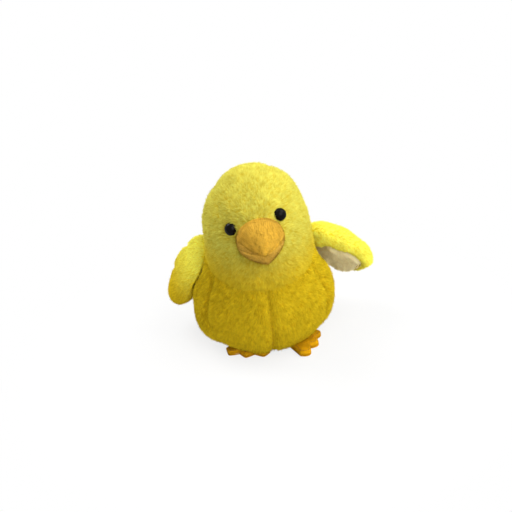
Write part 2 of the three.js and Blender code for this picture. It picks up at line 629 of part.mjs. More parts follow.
function footParts(side, hand, set) {
  const outline = footOutline(set.tuck);
  const middle = new THREE.Vector2(0, set.tuck - FOOT_LENGTH / 2);
  const floor = FOOT_CLOTH + SEAM_GAP;
  const top = (share) => 2 * floor + FOOT_CROWN * padSwell(share);
  const level = (height) => () => height;
  const fillReach = PAD_HOLLOW_REACH - (2 * SEAM_GAP) / FOOT_LENGTH;
  const pad = (lower, upper, reach) => solidOf(padForm(outline, middle, lower, upper, reach));
  const hollow = pad(level(0), (share) => top(share) - FOOT_CLOTH, PAD_HOLLOW_REACH);
  const pieces = {
    upper: pad(level(floor), top, 1).subtract(hollow),
    sole: pad(level(0), level(FOOT_CLOTH), 1),
    padding: pad(level(floor), (share) => top(share) - floor, fillReach),
  };
  const looks = { upper: ORANGE, sole: ORANGE, padding: WHITE_FIBRE };
  const frame = footFrame(side, set);
  const body = bodyForm(-SEAM_GAP).applyMatrix4(frame.clone().invert());
  const bends = [0, FOOT_BEND.up, -FOOT_BEND.down];
  const room = bends.map((bend) => solidOf(body.clone().rotateX(rad(bend)))).reduce(joined);
  return Object.entries(pieces).map(([piece, solid]) =>
    placed(meshOf(`foot_${hand}_${piece}`, solid.subtract(room), looks[piece]), frame));
}

// Tail: a leaf that runs back and up from the middle of the back
function tailParts() {
  const leaf = {
    length: TAIL_LENGTH, lead: TAIL_HALF, trail: TAIL_HALF, root: TAIL_ROOT,
    lobes: TAIL_LOBES, lobeDepth: TAIL_LOBE_DEPTH,
  };
  const make = { crown: TAIL_CROWN, hollow: TAIL_HOLLOW, wrap: TAIL_WRAP, cloth: VELOUR };
  const root = bodyPoint(Math.PI, TAIL_LEVEL, 0);
  const held = new THREE.Euler(0, -rad(TAIL_SET.lift), Math.PI / 2, "ZYX");
  const turned = new THREE.Quaternion().setFromEuler(held);
  const frame = new THREE.Matrix4().compose(root, turned, new THREE.Vector3(1, 1, 1));
  return leafMeshes("tail", stuffedLeaf(leaf, make), frame, swingRoom(frame, 1, TAIL_SET));
}

const canary = new THREE.Group();
canary.add(...bodyParts(), ...neckParts(), ...headParts(), ...beakParts(), ...tailParts());
canary.add(...wingParts(1, "left", LEFT_WING_SET), ...wingParts(-1, "right", RIGHT_WING_SET));
canary.add(...footParts(1, "left", LEFT_FOOT_SET), ...footParts(-1, "right", RIGHT_FOOT_SET));

export default canary;
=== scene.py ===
"""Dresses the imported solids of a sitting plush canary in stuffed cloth, cut pile, felt and beads."""
import json
import math
from collections import namedtuple
from itertools import product

import bmesh
import bpy
import numpy as np
from bpy.props import FloatProperty, FloatVectorProperty, IntProperty, PointerProperty
from mathutils import Matrix, Vector

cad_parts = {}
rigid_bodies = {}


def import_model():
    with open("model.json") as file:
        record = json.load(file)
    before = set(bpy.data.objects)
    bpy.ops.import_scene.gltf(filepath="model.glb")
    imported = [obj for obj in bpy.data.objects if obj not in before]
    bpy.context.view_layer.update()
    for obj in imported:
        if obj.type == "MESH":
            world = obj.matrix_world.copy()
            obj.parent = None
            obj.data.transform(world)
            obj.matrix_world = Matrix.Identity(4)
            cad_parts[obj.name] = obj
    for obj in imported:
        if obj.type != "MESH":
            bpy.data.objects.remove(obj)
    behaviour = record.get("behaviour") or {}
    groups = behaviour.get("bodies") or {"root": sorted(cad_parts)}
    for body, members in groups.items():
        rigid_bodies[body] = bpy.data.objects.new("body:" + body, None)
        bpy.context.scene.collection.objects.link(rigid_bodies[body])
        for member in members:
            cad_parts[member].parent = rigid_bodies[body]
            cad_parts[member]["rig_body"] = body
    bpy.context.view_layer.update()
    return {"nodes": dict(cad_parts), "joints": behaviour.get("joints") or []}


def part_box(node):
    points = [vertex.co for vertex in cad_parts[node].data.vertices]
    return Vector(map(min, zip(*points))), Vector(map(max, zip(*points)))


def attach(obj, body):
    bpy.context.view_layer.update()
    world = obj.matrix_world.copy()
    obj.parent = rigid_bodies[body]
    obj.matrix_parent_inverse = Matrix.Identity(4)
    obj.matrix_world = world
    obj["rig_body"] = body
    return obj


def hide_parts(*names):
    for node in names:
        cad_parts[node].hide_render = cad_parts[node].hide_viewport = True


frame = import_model()
JOINTS = {joint["name"]: joint for joint in frame["joints"]}
NECK = np.array(JOINTS["head_tilt"]["pos_m"])

bl_info = {
    "name": "Plush canary",
    "version": (1, 0, 0),
    "blender": (4, 5, 0),
    "location": "3D View > Sidebar > Canary",
    "description": "Dresses the solids of a sitting plush canary in stuffed cloth, cut pile, felt and beads",
    "category": "Object",
}


def length(name, description, default):
    """Setting that is a length, in metres."""
    return FloatProperty(name=name, description=description, default=default, unit="LENGTH", precision=5)


def angle(name, description, degrees):
    """Setting that is an angle: its default in degrees x pi / 180."""
    return FloatProperty(name=name, description=description, default=math.radians(degrees), subtype="ANGLE")


def number(name, description, default):
    """Setting that is a plain number."""
    return FloatProperty(name=name, description=description, default=default, precision=3)


def colour(name, description, default):
    """Setting that is a colour, in linear red, green and blue."""
    return FloatVectorProperty(name=name, description=description, default=default, size=3, min=0, max=1,
                               subtype="COLOR")


class ClothSettings(bpy.types.PropertyGroup):
    """Pile, backing cloth and seams"""
    pile_height: length("Pile height", "How far the pile lifts the surface over its backing", 0.002)
    pile_length: length("Pile length", "Length of a tuft of the plush", 0.0034)
    tuft_radius: length("Tuft radius", "Radius of a tuft at its root", 0.00027)
    density: number("Tufts", "Tufts on each square millimetre", 9.0)
    lean: angle("Lean", "How far the tufts lie over from upright", 62)
    clump: length("Clump", "Distance between the clumps that the tufts gather in", 0.0018)
    backing: length("Backing", "Thickness of the backing cloth", 0.0007)
    seam_depth: length("Seam depth", "How far a seam pulls the cloth in", 0.0022)
    seam_width: length("Seam width", "Reach of that pull to each side", 0.0026)
    swell: length("Swell", "The most that stuffing pushes the cloth out between seams", 0.0015)


class BodySettings(bpy.types.PropertyGroup):
    """Body: a full belly oval and round shoulders"""
    width: length("Width", "Width of the belly", 0.096)
    depth: length("Depth", "Depth of the belly", 0.088)
    belly_level: length("Belly level", "Height of the widest part", 0.033)
    belly_rise: length("Belly rise", "Height of the belly oval over it", 0.030)
    fullness: number("Fullness", "Power of the oval under the widest part", 2.4)
    blend: length("Blend", "Rounding between belly and shoulders", 0.004)
    base_width: length("Base width", "Width of the flat base", 0.054)
    shoulder_radius: length("Shoulder radius", "Radius of the round shoulders", 0.040)
    side_seam: angle("Side seam", "Turn of the side seams from the front", 57)
    tuck: angle("Neck tuck", "How far the body's cloth runs on under the head's edge", 11)


class HeadSettings(bpy.types.PropertyGroup):
    """Head: a dome over straight sides"""
    width: length("Width", "Width of the head", 0.070)
    depth: length("Depth", "Depth of the head", 0.071)
    level: length("Dome level", "Height where the dome starts", 0.082)
    top: length("Top", "Height of the crown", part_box("crown_gusset")[1].z)
    forward: length("Forward", "How far the head sits in front of the body's middle", 0.003)
    flare: length("Flare", "How far its lower edge flares out", 0.0015)
    seam_level: length("Neck seam", "Height of the neck seam over the neck's axis", 0.065)
    seam_lean: angle("Neck seam lean", "How far the neck seam leans down to the front", 16)
    gusset_width: length("Crown strip", "Width of the strip over the crown", 0.035)
    gusset_start: length("Crown strip start", "Height of its front end over the start of the dome", 0.007)
    roll: angle("Face roll", "How far the face is cocked to its right", 10)


class EyeSettings(bpy.types.PropertyGroup):
    """Bead eyes on shanks"""
    width: length("Width", "Width of a bead", 0.008)
    dome: length("Dome", "Height of its dome", 0.004)
    sink: length("Sink", "How deep it is pulled into the pile", 0.0020)
    spacing: length("Spacing", "Distance between the eyes", 0.032)
    rise: length("Rise", "Height of the eyes over the start of the dome", 0.0135)
    shank_width: length("Shank width", "Width of the shank", 0.003)
    shank_length: length("Shank length", "Length of the shank", 0.009)


class BeakSettings(bpy.types.PropertyGroup):
    """Stuffed velour beak"""
    width: length("Width", "Width of the beak", 0.030)
    length: length("Length", "Length from the face to the tip", 0.0172)
    above: length("Above", "Height of the upper half", 0.013)
    below: length("Below", "Height of the lower half", 0.0155)
    point: number("Point", "Power of the oval that its width follows to the tip", 1.2)
    dome: number("Dome", "Power of the oval that its height follows to the tip", 2.0)
    keel: number("Keel", "How far the lower half narrows downwards", 0.7)
    overbite: length("Overbite", "How far the upper half passes the lower", 0.003)
    rise: length("Rise", "Height of the mouth over the start of the head's dome", 0.0035)
    left_corner: angle("Left corner", "How far the mouth's left corner lies over the middle", -12)
    right_corner: angle("Right corner", "How far the mouth's right corner lies over the middle", 20)
    droop: angle("Droop", "How far the beak points down", 10)
    root: length("Root", "How far the beak runs into the pile", 0.005)
    nap: length("Nap", "Length of the brushed nap", 0.0013)
    nap_radius: length("Nap radius", "Radius of a strand of nap", 0.00016)
    nap_rows: IntProperty(name="Nap rows", description="Rows of nap round the beak", default=74)


class WingSettings(bpy.types.PropertyGroup):
    """Stuffed wings with a cream underside"""
    length: length("Length", "Length of a wing", 0.054)
    lead: length("Lead", "Half width towards the leading edge", 0.019)
    trail: length("Trail", "Half width towards the trailing edge", 0.031)
    lower_trail: length("Lowered trail", "The same on the lowered wing, whose edge is drawn in", 0.022)
    root: length("Root", "Width of the sewn root", 0.018)
    crown: length("Crown", "Swell of the outer face", 0.010)
    hollow: length("Hollow", "Swell of the underside", 0.007)
    wrap: length("Wrap", "How far the outer cloth wraps under the leading edge", 0.018)
    left_lobes: length("Left lobes", "Depth of the feather lobes of the raised wing", 0.0055)
    right_lobes: length("Right lobes", "Depth of the feather lobes of the lowered wing", 0.0008)
    left_bend: angle("Left bend", "How far the raised wing bends down from root to tip", 11)
    right_bend: angle("Right bend", "How far the lowered wing bends down from root to tip", 26)
    left_stretch: number("Left stretch", "How far the raised wing's cloth is pulled out lengthways", 1.05)
    sink: length("Sink", "How far the roots are sunk in the body's pile", 0.0)
    left_droop: angle("Left droop", "How far the left wing hangs", 27)
    left_pitch: angle("Left pitch", "How far its leading edge is turned up", 46)
    left_sweep: angle("Left sweep", "How far it is swept", -2)
    right_droop: angle("Right droop", "How far the right wing hangs", 42)
    right_pitch: angle("Right pitch", "How far its leading edge is turned up", -14)
    right_sweep: angle("Right sweep", "How far it is swept", 4)


class TailSettings(bpy.types.PropertyGroup):
    """Short stuffed tail"""
    length: length("Length", "Length of the tail", 0.032)
    half: length("Half width", "Half width of the tail", 0.013)
    root: length("Root", "Width of the sewn root", 0.016)
    crown: length("Crown", "Swell of the upper face", 0.0055)
    hollow: length("Hollow", "Swell of the underside", 0.0045)
    wrap: length("Wrap", "How far the upper cloth wraps under", 0.003)
    lobe_depth: length("Lobes", "Depth of the feather lobes", 0.0015)
    lift: angle("Lift", "How far the tail points up", 15)
    bend: angle("Bend", "How far it bends down from root to tip", 5)
    sink: length("Sink", "How far its root is sunk in the body's pile", 0.0035)


class FootSettings(bpy.types.PropertyGroup):
    """Flat felt feet with three toes"""
    length: length("Length", "Length of the longest toe", 0.020)
    root: length("Root", "Width of the heel", 0.010)
    crown: length("Crown", "Swell of the padding", 0.0018)
    felt: length("Felt", "Thickness of the felt", 0.0012)
    gap: length("Gap", "Room between the two felts", 0.0003)
    spread: angle("Toe spread", "Turn from toe to toe", 26)
    notch: length("Notch", "Depth between the toes", 0.0042)
    turn: angle("Turn", "Turn of the feet from the front", 33)
    left_splay: angle("Left splay", "How far the left foot points out", 62)
    right_splay: angle("Right splay", "How far the right foot points out", 18)
    left_tuck: length("Left tuck", "How far the left heel is under the body", 0.002)
    right_tuck: length("Right tuck", "How far the right heel is under the body", 0.008)
    left_point: number("Left points", "How pointed the left toes are, from 0 for lobes to 1 for points", 0.0)
    right_point: number("Right points", "The same of the right toes", 1.0)
    stitch_step: length("Stitch step", "Distance from stitch to stitch", 0.0017)
    stitch_inset: length("Stitch inset", "Distance of the stitching from the edge", 0.0018)


class ColourSettings(bpy.types.PropertyGroup):
    """Colours of the finishes"""
    # The roots' deeper colours are painted shade deep in the pile
    body_root: colour("Body root", "Body pile, deep in", (0.64, 0.35, 0.002))
    body_tip: colour("Body tip", "Body pile, at the tips", (0.73, 0.54, 0.0175))
    # The head's pile is paler than the body's partly by its own tint and partly as painted light from above
    head_root: colour("Head root", "Head pile, deep in", (0.67, 0.45, 0.011))
    head_tip: colour("Head tip", "Head pile, at the tips", (0.715, 0.675, 0.108))
    wing_root: colour("Wing root", "Wing pile, deep in", (1.0, 0.76, 0.008))
    wing_tip: colour("Wing tip", "Wing pile, at the tips", (1.0, 0.98, 0.14))
    cream_root: colour("Cream root", "Underside pile, deep in", (1.0, 0.795, 0.34))
    cream_tip: colour("Cream tip", "Underside pile, at the tips", (1.0, 0.90, 0.56))
    beak: colour("Beak", "Upper half of the beak", (0.78, 0.44, 0.040))
    beak_under: colour("Lower beak", "Lower half of the beak", (0.78, 0.45, 0.055))
    felt: colour("Felt", "Feet", (0.575, 0.28, 0.003))
    thread: colour("Thread", "Stitching on the feet", (0.16, 0.05, 0.002))
    bead: colour("Bead", "Eyes", (0.003, 0.0025, 0.002))
    fibre: colour("Fibre", "Stuffing", (0.88, 0.87, 0.82))
    bag: colour("Bag", "Cloth of the pellet bag", (0.68, 0.66, 0.58))
    washer: colour("Washer", "Washers behind the eyes", (0.80, 0.80, 0.78))
    floor: colour("Floor", "Floor under the toy", (0.72, 0.72, 0.71))


class StageSettings(bpy.types.PropertyGroup):
    """Camera and light"""
    distance: length("Distance", "Camera to the middle of the toy", 0.420)
    rise: angle("Rise", "How far the camera looks down", 25)
    turn: angle("Turn", "How far it stands round to the toy's left", -3)
    roll: angle("Roll", "How far the toy leans to the left in the picture", 6.5)
    view: angle("View", "Angle that the picture covers", 44.2)
    middle: FloatVectorProperty(name="Middle", description="Point that the camera looks at", size=3,
                                default=(-0.0025, 0.0, 0.058), subtype="XYZ", unit="LENGTH")
    key: number("Key light", "Power of the lamp at the upper right, in watts", 5.9)
    fill: number("Fill light", "Power of the lamp in front, in watts", 6.6)
    rim: number("Back light", "Power of the lamp behind, in watts", 6.6)
    sky: number("Sky", "Strength of the even light from all round", 0.42)
    floor_half: length("Floor", "Half width of the floor", 2.5)


class CanarySettings(bpy.types.PropertyGroup):
    """All the settings of the toy"""
    cloth: PointerProperty(type=ClothSettings)
    body: PointerProperty(type=BodySettings)
    head: PointerProperty(type=HeadSettings)
    eye: PointerProperty(type=EyeSettings)
    beak: PointerProperty(type=BeakSettings)
    wing: PointerProperty(type=WingSettings)
    tail: PointerProperty(type=TailSettings)
    foot: PointerProperty(type=FootSettings)
    colour: PointerProperty(type=ColourSettings)
    stage: PointerProperty(type=StageSettings)


def sizes():
    """All the settings, as they are in the scene."""
    return bpy.context.scene.canary


# Grid sizes and frames of the simulation
BODY_ROWS = 58
BELLY_COLUMNS = 42
BACK_COLUMNS = 66
HEAD_COLUMNS = 168
NECK_ROWS = 22
DOME_ROWS = 38
LEAF_COLUMNS = 112
FACE_ROWS = 22
WRAP_ROWS = 9
FOOT_COLUMNS = 192
BEAK_ROWS = 34
BEAK_COLUMNS = 60
BEAD_COLUMNS = 40
SETTLE_FRAMES = 20
# Share of its reach at which a grid stops short of its middle
POLE = 0.03
# Least height of anything over the floor, and height of the body panels' lower edge
FLOOR_CLEAR = 0.0004
HEM = 0.0008
# How far stuffing lies under the skin, with the height and the length of its lumps
FILL_INSET = 0.0055
FILL_LUMP = 0.0006
FILL_WAVE = 0.012
# Length of the soft unevenness of stuffed cloth
UNEVEN_WAVE = 0.026
# Tufts: the drift of their lie, how far each and its clump swing and tilt, and how clumps differ in height
LIE_DRIFT, LIE_WAVE = 0.3, 0.018
SWING, CLUMP_SWING = 0.30, 0.40
TILT, CLUMP_TILT = 0.12, 0.11
CLUMP_TALL = 0.14
# Tufts: seed of the clumps, how far tips are drawn to their clump's middle, shades, and how normals turn
CLUMP_SEED = 11
DRAWN_IN = 0.5
TONE, CLUMP_TONE = 0.9, 0.7
LIE_TURN, CLUMP_TURN = 0.12, 0.35
# Tufts: how deep their roots are in the cloth, and the share of the length under which none is made
ROOT_DEPTH = 0.0003
LEAST_TUFT = 0.05
# Share of the tufts that the large back panels have, which are the wider for it
BACK_SPARSE = 0.75
# How much of the light plain cloth mirrors
CLOTH_GLOSS = 0.25
# Body: height where the seams' pull is whole, pull of the hem, and the collar's swell and drop from the seam
SEAM_FADE = 0.010
HEM_PULL = (0.0012, 0.0022)
COLLAR_SWELL = (0.0018, 0.007)
COLLAR_DROP = 0.003
# Height of the soft unevenness of body and head
BODY_UNEVEN = 0.0006
HEAD_UNEVEN = 0.0003
# Height where the body's stuffing starts, over the pellet bag
BAG_TOP = 0.016
# Neck wad: how far under the neck's joint it starts, its length, and its radius before it swells
WAD_DROP = 0.012
WAD_LENGTH = 0.046
WAD_RADIUS = 0.0175
# Head: reach of the held seams, pull of the neck's edge, and pull of an eye's shank
SEAM_HELD = 0.0009
NECK_PULL = (0.0011, 0.0030)
EYE_PULL = (0.0004, 0.0070)
# Leaves: least wrap of the upper cloth under the edge, where it ends past the tip, and how it narrows to it
EDGE_WRAP = 0.0022
WRAP_END = math.radians(50)
WRAP_TAPER = 0.6
# Leaves: the cloth's inset as a share of the pile's height, and the share of the length held at the root
LEAF_INSET = 0.8
ROOT_SHARE = 0.12
# Leaves: creases from the notches, and the soft unevenness with the length over which it starts
CREASE_SLANT = 0.35
CREASE_DEPTH = 0.0014
CREASE_WIDTH = 0.0019
LEAF_UNEVEN = 0.0007
LEAF_WAVE = 0.017
ROOT_FADE = 0.012
# Leaves: share of the leaf that its stuffing fills in each way, where it starts, and room to the body
LEAF_FILL = (0.86, 0.78, 0.62)
LEAF_FILL_START = 0.09
LEAF_ROOM = 0.0006
# Least share of a section at which a point is moved out to its edge
LEAST_SHARE = 0.2
# Beak: turn by which the upper half runs on inside of the lower one, and how far and how often nap wavers
MOUTH_TUCK = 0.22
NAP_WAVER = 0.9
NAP_WAVE = 0.007
# Feet: share of the body's reach that they stay outside of, room under the body, and a stitch's half sizes
# along, across and up, with how deep it sits
BASE_SHARE = 0.60
FOOT_ROOM = 0.0006
STITCH_HALF = (0.00055, 0.00026, 0.000208)
STITCH_SINK = 0.00006
# Name, place and size of each lamp
LAMPS = (
    ("key", (0.58, -0.08, 0.81), 0.70),
    ("fill", (0.38, -0.71, 0.56), 0.70),
    ("back", (-0.45, 0.38, 0.81), 0.60),
)
# Centre, radius and height of the lumps that hand stuffing leaves
BODY_LUMPS = (
    ((-0.040, -0.012, 0.015), 0.016, 0.0030),
    ((0.038, -0.018, 0.024), 0.014, 0.0006),
    ((0.020, -0.040, 0.030), 0.012, 0.0006),
    ((-0.018, -0.040, 0.034), 0.013, 0.0005),
    ((-0.004, -0.028, 0.003), 0.015, 0.0026),
)
HEAD_LUMPS = (
    ((0.034, -0.004, 0.100), 0.015, -0.0012),
    ((0.026, 0.002, 0.112), 0.008, 0.0009),
    ((-0.030, -0.018, 0.078), 0.012, 0.0007),
    ((0.022, -0.030, 0.074), 0.012, 0.0007),
)


# Forms
def oval_share(offset, reach, power=2.0):
    """What an oval keeps of its half width at an offset: (1 - |offset / reach| ^ power) ^ (1 / power)."""
    return np.clip(1 - np.abs(offset / reach) ** power, 0, None) ** (1 / power)


def larger(a, b, blend):
    """The larger of two lengths, rounded where they cross: half of a + b + the long side of (a - b, blend)."""
    return (a + b + np.hypot(a - b, blend)) / 2


def smooth(share):
    """Eased step from 0 to 1: 3 t^2 - 2 t^3."""
    t = np.clip(share, 0, 1)
    return t * t * (3 - 2 * t)


def eased(count):
    """Steps from 0 to 1 that lie closer together towards both ends: the mean of t and (1 - cos(pi t)) / 2."""
    t = np.linspace(0, 1, count)
    return (t + (1 - np.cos(np.pi * t)) / 2) / 2


def full_turn(count, start=0.0):
    """Even steps round a full turn: 2 pi (step + start) / count."""
    return 2 * np.pi * (np.arange(count) + start) / count


def circle(right, ahead, count):
    """Ways round an axis: cos turn x right + sin turn x ahead."""
    turn = full_turn(count)[:, None]
    return np.cos(turn) * right + np.sin(turn) * ahead


def unit(ways):
    """Ways made one long."""
    return ways / np.maximum(np.linalg.norm(ways, axis=-1, keepdims=True), 1e-12)


def level_with(ways, up):
    """What ways keep across the ways up: way - (way . up) up."""
    return ways - np.einsum("nd,nd->n", ways, up)[:, None] * up


def placed(points, place):
    """Points turned and moved to their place."""
    return points @ np.array(place.to_3x3()).T + np.array(place.translation)


def swell_share(share):
    """Height of a stuffed pad over its spokes: sqrt(1 - share^4)."""
    return np.sqrt(np.clip(1 - share ** 4, 0, None))


def belly_drop():
    """Depth of the lower belly oval that leaves the base its width at height 0."""
    body = sizes().body
    return body.belly_level / oval_share(body.base_width, body.width, body.fullness)


def body_section(height, inset):
    """Half width and half depth of the body at a height: the larger of belly oval and shoulder ball."""
    body = sizes().body
    offset = height - body.belly_level
    share = np.where(offset > 0, oval_share(offset, body.belly_rise - inset),
                     oval_share(offset, belly_drop() - inset, body.fullness))
    radius = body.shoulder_radius - inset
    ball = radius * oval_share(height - NECK[2], radius)
    return (larger((body.width / 2 - inset) * share, ball, body.blend),
            larger((body.depth / 2 - inset) * share, ball, body.blend))


def body_point(turn, height, inset):
    """Point of the body's skin: (half width x sin turn, -half depth x cos turn, height)."""
    across, deep = body_section(height, inset)
    return np.stack(np.broadcast_arrays(across * np.sin(turn), -deep * np.cos(turn), height), -1)


def share_of_body(flat):
    """How far out spots on the floor lie, as a share of the belly oval's reach."""
    body = sizes().body
    return np.hypot(flat[..., 0] / (body.width / 2), flat[..., 1] / (body.depth / 2))


def head_section(height, inset):
    """Half width and half depth of the head at a height: an oval dome over sides that flare to the neck."""
    head = sizes().head
    offset = height - head.level
    share = np.where(offset > 0, oval_share(offset, head.top - head.level - inset), 1.0)
    flare = head.flare * (np.minimum(offset, 0) / (head.level - head.seam_level)) ** 2
    return (head.width / 2 - inset) * share + flare, (head.depth / 2 - inset) * share + flare


def head_point(turn, height, inset):
    """Point of the head's skin: the section's oval about an upright line a little in front of the body's."""
    across, deep = head_section(height, inset)
    forward = sizes().head.forward
    return np.stack(np.broadcast_arrays(across * np.sin(turn), -forward - deep * np.cos(turn), height), -1)


def seam_axis():
    """Way up out of the neck seam's plane, which leans down to the front."""
    lean = sizes().head.seam_lean
    return np.array([0, -math.sin(lean), math.cos(lean)])


def seam_height():
    """Distance of the neck seam's plane from the neck's joint, along the plane's axis."""
    head = sizes().head
    return (head.seam_level - NECK[2]) * math.cos(head.seam_lean)


def over_seam(points):
    """Height of points over the neck seam's plane, along its axis."""
    return (points - NECK) @ seam_axis() - seam_height()


def face_local(points):
    """Points in the cocked face's own frame: across, out behind, and up from the middle of the face."""
    head = sizes().head
    x, y, z = np.moveaxis(points - np.array([0, -head.forward, head.level]), -1, 0)
    c, s = math.cos(head.roll), math.sin(head.roll)
    return np.stack([x * c + z * s, y, z * c - x * s], -1)


def face_turn():
    """Turn of the cocked face about the way it looks."""
    return Matrix.Rotation(-sizes().head.roll, 4, "Y")


def face_spot(across, rise):
    """Where a spot of the face lies on the head's skin, and the way out of the skin there: the cross product of
    small steps along it and up it."""
    spot = face_turn() @ Vector((across, 0, rise))
    height = sizes().head.level + spot.z
    turn = math.asin(spot.x / float(head_section(height, 0)[0]))
    step = 1e-4
    point = head_point(turn, height, 0)
    along = head_point(turn + step, height, 0) - point
    up = head_point(turn, height + step, 0) - point
    return point, unit(np.cross(along, up))


def eye_spots():
    """Where the left and the right eye sit on the head's skin, and the ways out of it there."""
    eye = sizes().eye
    return [face_spot(hand * eye.spacing / 2, eye.rise) for hand in (1, -1)]


def ripple(points, wave, seed):
    """Soft unevenness from -1 to 1: the mean of five sines over points, in ways drawn from a seed."""
    draw = np.random.default_rng(seed)
    ways = draw.normal(size=(5, 3))
    ways *= 2 * np.pi / wave / np.linalg.norm(ways, axis=1, keepdims=True)
    return np.sin(points @ ways.T + draw.uniform(0, 2 * np.pi, 5)).mean(-1) * 1.6


def lumps(points, places):
    """Sum of round lumps: height x exp(-(distance / radius)^2) for each centre."""
    total = np.zeros(points.shape[:-1])
    for centre, radius, height in places:
        total += height * np.exp(-(np.linalg.norm(points - np.array(centre), axis=-1) / radius) ** 2)
    return total


def pulled(distance, depth, width):
    """How far a seam pulls the cloth in at a distance: depth x exp(-(distance / width)^2)."""
    return depth * np.exp(-(distance / width) ** 2)


def closed_path(path):
    """Path that comes back to its first point, and how far along it each point lies."""
    ring = np.concatenate([path, path[:1]])
    return ring, np.concatenate([[0], np.cumsum(np.linalg.norm(np.diff(ring, axis=0), axis=1))])


def on_path(ring, walked, spots):
    """Points at distances along a path."""
    return np.stack([np.interp(spots, walked, ring[:, k]) for k in range(ring.shape[1])], -1)


# Grids and meshes
def grid_normals(points):
    """Ways out of a grid that loops round its columns: the cross product of steps along columns and rows."""
    along = np.roll(points, -1, 1) - np.roll(points, 1, 1)
    return unit(np.cross(along, np.gradient(points, axis=0)))


def lumpy(core, seed):
    """Stuffing with its lumps: points moved along the ways out by a ripple."""
    return core + FILL_LUMP * ripple(core, FILL_WAVE, seed)[..., None] * grid_normals(core)


def grid_faces(rows, columns, loop):
    """Quads between neighbouring points of a grid, closed round its columns where it loops."""
    index = np.arange(rows * columns).reshape(rows, columns)
    left, right = (index, np.roll(index, -1, 1)) if loop else (index[:, :-1], index[:, 1:])
    return np.stack([left[:-1], right[:-1], right[1:], left[1:]], -1).reshape(-1, 4)


def mesh_of(name, points, groups):
    """Mesh of points and of groups of faces, each group an array with one row of indices for each face."""
    corners = np.concatenate([group.ravel() for group in groups]).astype(np.int32)
    counts = np.concatenate([np.full(len(group), group.shape[1]) for group in groups])
    starts = np.concatenate([[0], np.cumsum(counts)[:-1]]).astype(np.int32)
    mesh = bpy.data.meshes.new(name)
    mesh.vertices.add(len(points))
    mesh.vertices.foreach_set("co", np.asarray(points, np.float32).ravel())
    mesh.loops.add(len(corners))
    mesh.loops.foreach_set("vertex_index", corners)
    mesh.polygons.add(len(counts))
    mesh.polygons.foreach_set("loop_start", starts)
    mesh.polygons.foreach_set("use_smooth", np.ones(len(counts), bool))
    mesh.update(calc_edges=True)
    return mesh


def grid_mesh(name, points, loop=False, first=False, last=False):
    """Mesh of a grid, with a flat cap over its first or last row where that is asked for."""
    rows, columns = points.shape[:2]
    index = np.arange(rows * columns).reshape(rows, columns)
    groups = [grid_faces(rows, columns, loop)]
    if first:
        groups.append(index[:1, ::-1])
    if last:
        groups.append(index[-1:])
    return mesh_of(name, points.reshape(-1, 3), groups)


def read(items, key, kind=np.float32):
    """Three numbers of each item of a mesh, as rows."""
    values = np.empty(3 * len(items), kind)
    items.foreach_get(key, values)
    return values.reshape(-1, 3)


def keep_values(mesh, **values):
    """Stores one number for each point of a mesh under each name, for its material to read."""
    for name, value in values.items():
        store = mesh.attributes.new(name, "FLOAT", "POINT").data
        store.foreach_set("value", np.asarray(value, np.float32).ravel())


def piece_of(mesh, body, look, stands_for=()):
    """Object of a mesh that rides on a body, with its look and the solids that it stands for."""
    piece = bpy.data.objects.new(mesh.name, mesh)
    bpy.context.scene.collection.objects.link(piece)
    mesh.materials.clear()
    mesh.materials.append(look)
    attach(piece, body)
    if stands_for:
        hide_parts(*stands_for)
    return piece


def closed_piece(name, points, body, look, stands_for):
    """Piece of a grid that loops round its columns and is capped at both ends."""
    return piece_of(grid_mesh(name, points, True, True, True), body, look, [stands_for])


def panel_of(mesh, body, look, stands_for):
    """Cloth panel: a sheet with its thickness, inwards, so that it is a closed shell."""
    panel = piece_of(mesh, body, look, [stands_for])
    wall = panel.modifiers.new("Cloth", "SOLIDIFY")
    wall.thickness = sizes().cloth.backing
    wall.offset = -1
    return panel


def dress(node, look):
    """Gives a solid of the frame that stays in sight its look."""
    solid = frame["nodes"][node].data
    solid.materials.clear()
    solid.materials.append(look)


def swollen(points, held):
    """Lets cloth over a closed grid swell under pressure, held at its seams, and caps how far a point moves."""
    scene = bpy.context.scene
    mesh = grid_mesh("swelling", points, True, True, True)
    cloth = bpy.data.objects.new("swelling", mesh)
    scene.collection.objects.link(cloth)
    pins = cloth.vertex_groups.new(name="seams")
    for index in np.flatnonzero(held.ravel()):
        pins.add([int(index)], 1.0, "REPLACE")
    work = cloth.modifiers.new("Cloth", "CLOTH").settings
    work.mass = 0.02
    work.quality = 6
    work.use_pressure = True
    work.uniform_pressure_force = 9
    work.vertex_group_mass = pins.name
    work.effector_weights.gravity = 0
    work.bending_stiffness = 0.2
    for step in range(1, SETTLE_FRAMES + 1):
        scene.frame_set(step)
    settled = cloth.evaluated_get(bpy.context.evaluated_depsgraph_get()).data
    shift = read(settled.vertices, "co").reshape(points.shape) - points
    scene.frame_set(1)
    bpy.data.objects.remove(cloth)
    bpy.data.meshes.remove(mesh)
    far = np.linalg.norm(shift, axis=-1, keepdims=True)
    return points + shift * np.minimum(1, sizes().cloth.swell / np.maximum(far, 1e-9))


# Pile
def clumps(points, cell, seed):
    """Clump that each point belongs to: the nearest of one spot drawn in each cell of a cubic lattice, and
    four numbers drawn for that clump. A table of draws is entered by a hash of the cell's whole numbers."""
    table = np.random.default_rng(seed).uniform(size=(8192, 7))
    home = np.floor(points / cell).astype(np.int64)
    best = np.full(len(points), np.inf)
    centre, own = np.zeros_like(points), np.zeros((len(points), 4))
    for step in product((-1, 0, 1), repeat=3):
        corner = home + np.array(step)
        mixed_up = (corner * np.array([73856093, 19349663, 83492791])).sum(1) * 2654435761 % 2 ** 32
        drawn = table[mixed_up >> 19]
        spot = (corner + drawn[:, :3]) * cell
        far = np.linalg.norm(points - spot, axis=1)
        near = far < best
        best[near], centre[near], own[near] = far[near], spot[near], drawn[near, 3:]
    return centre, own


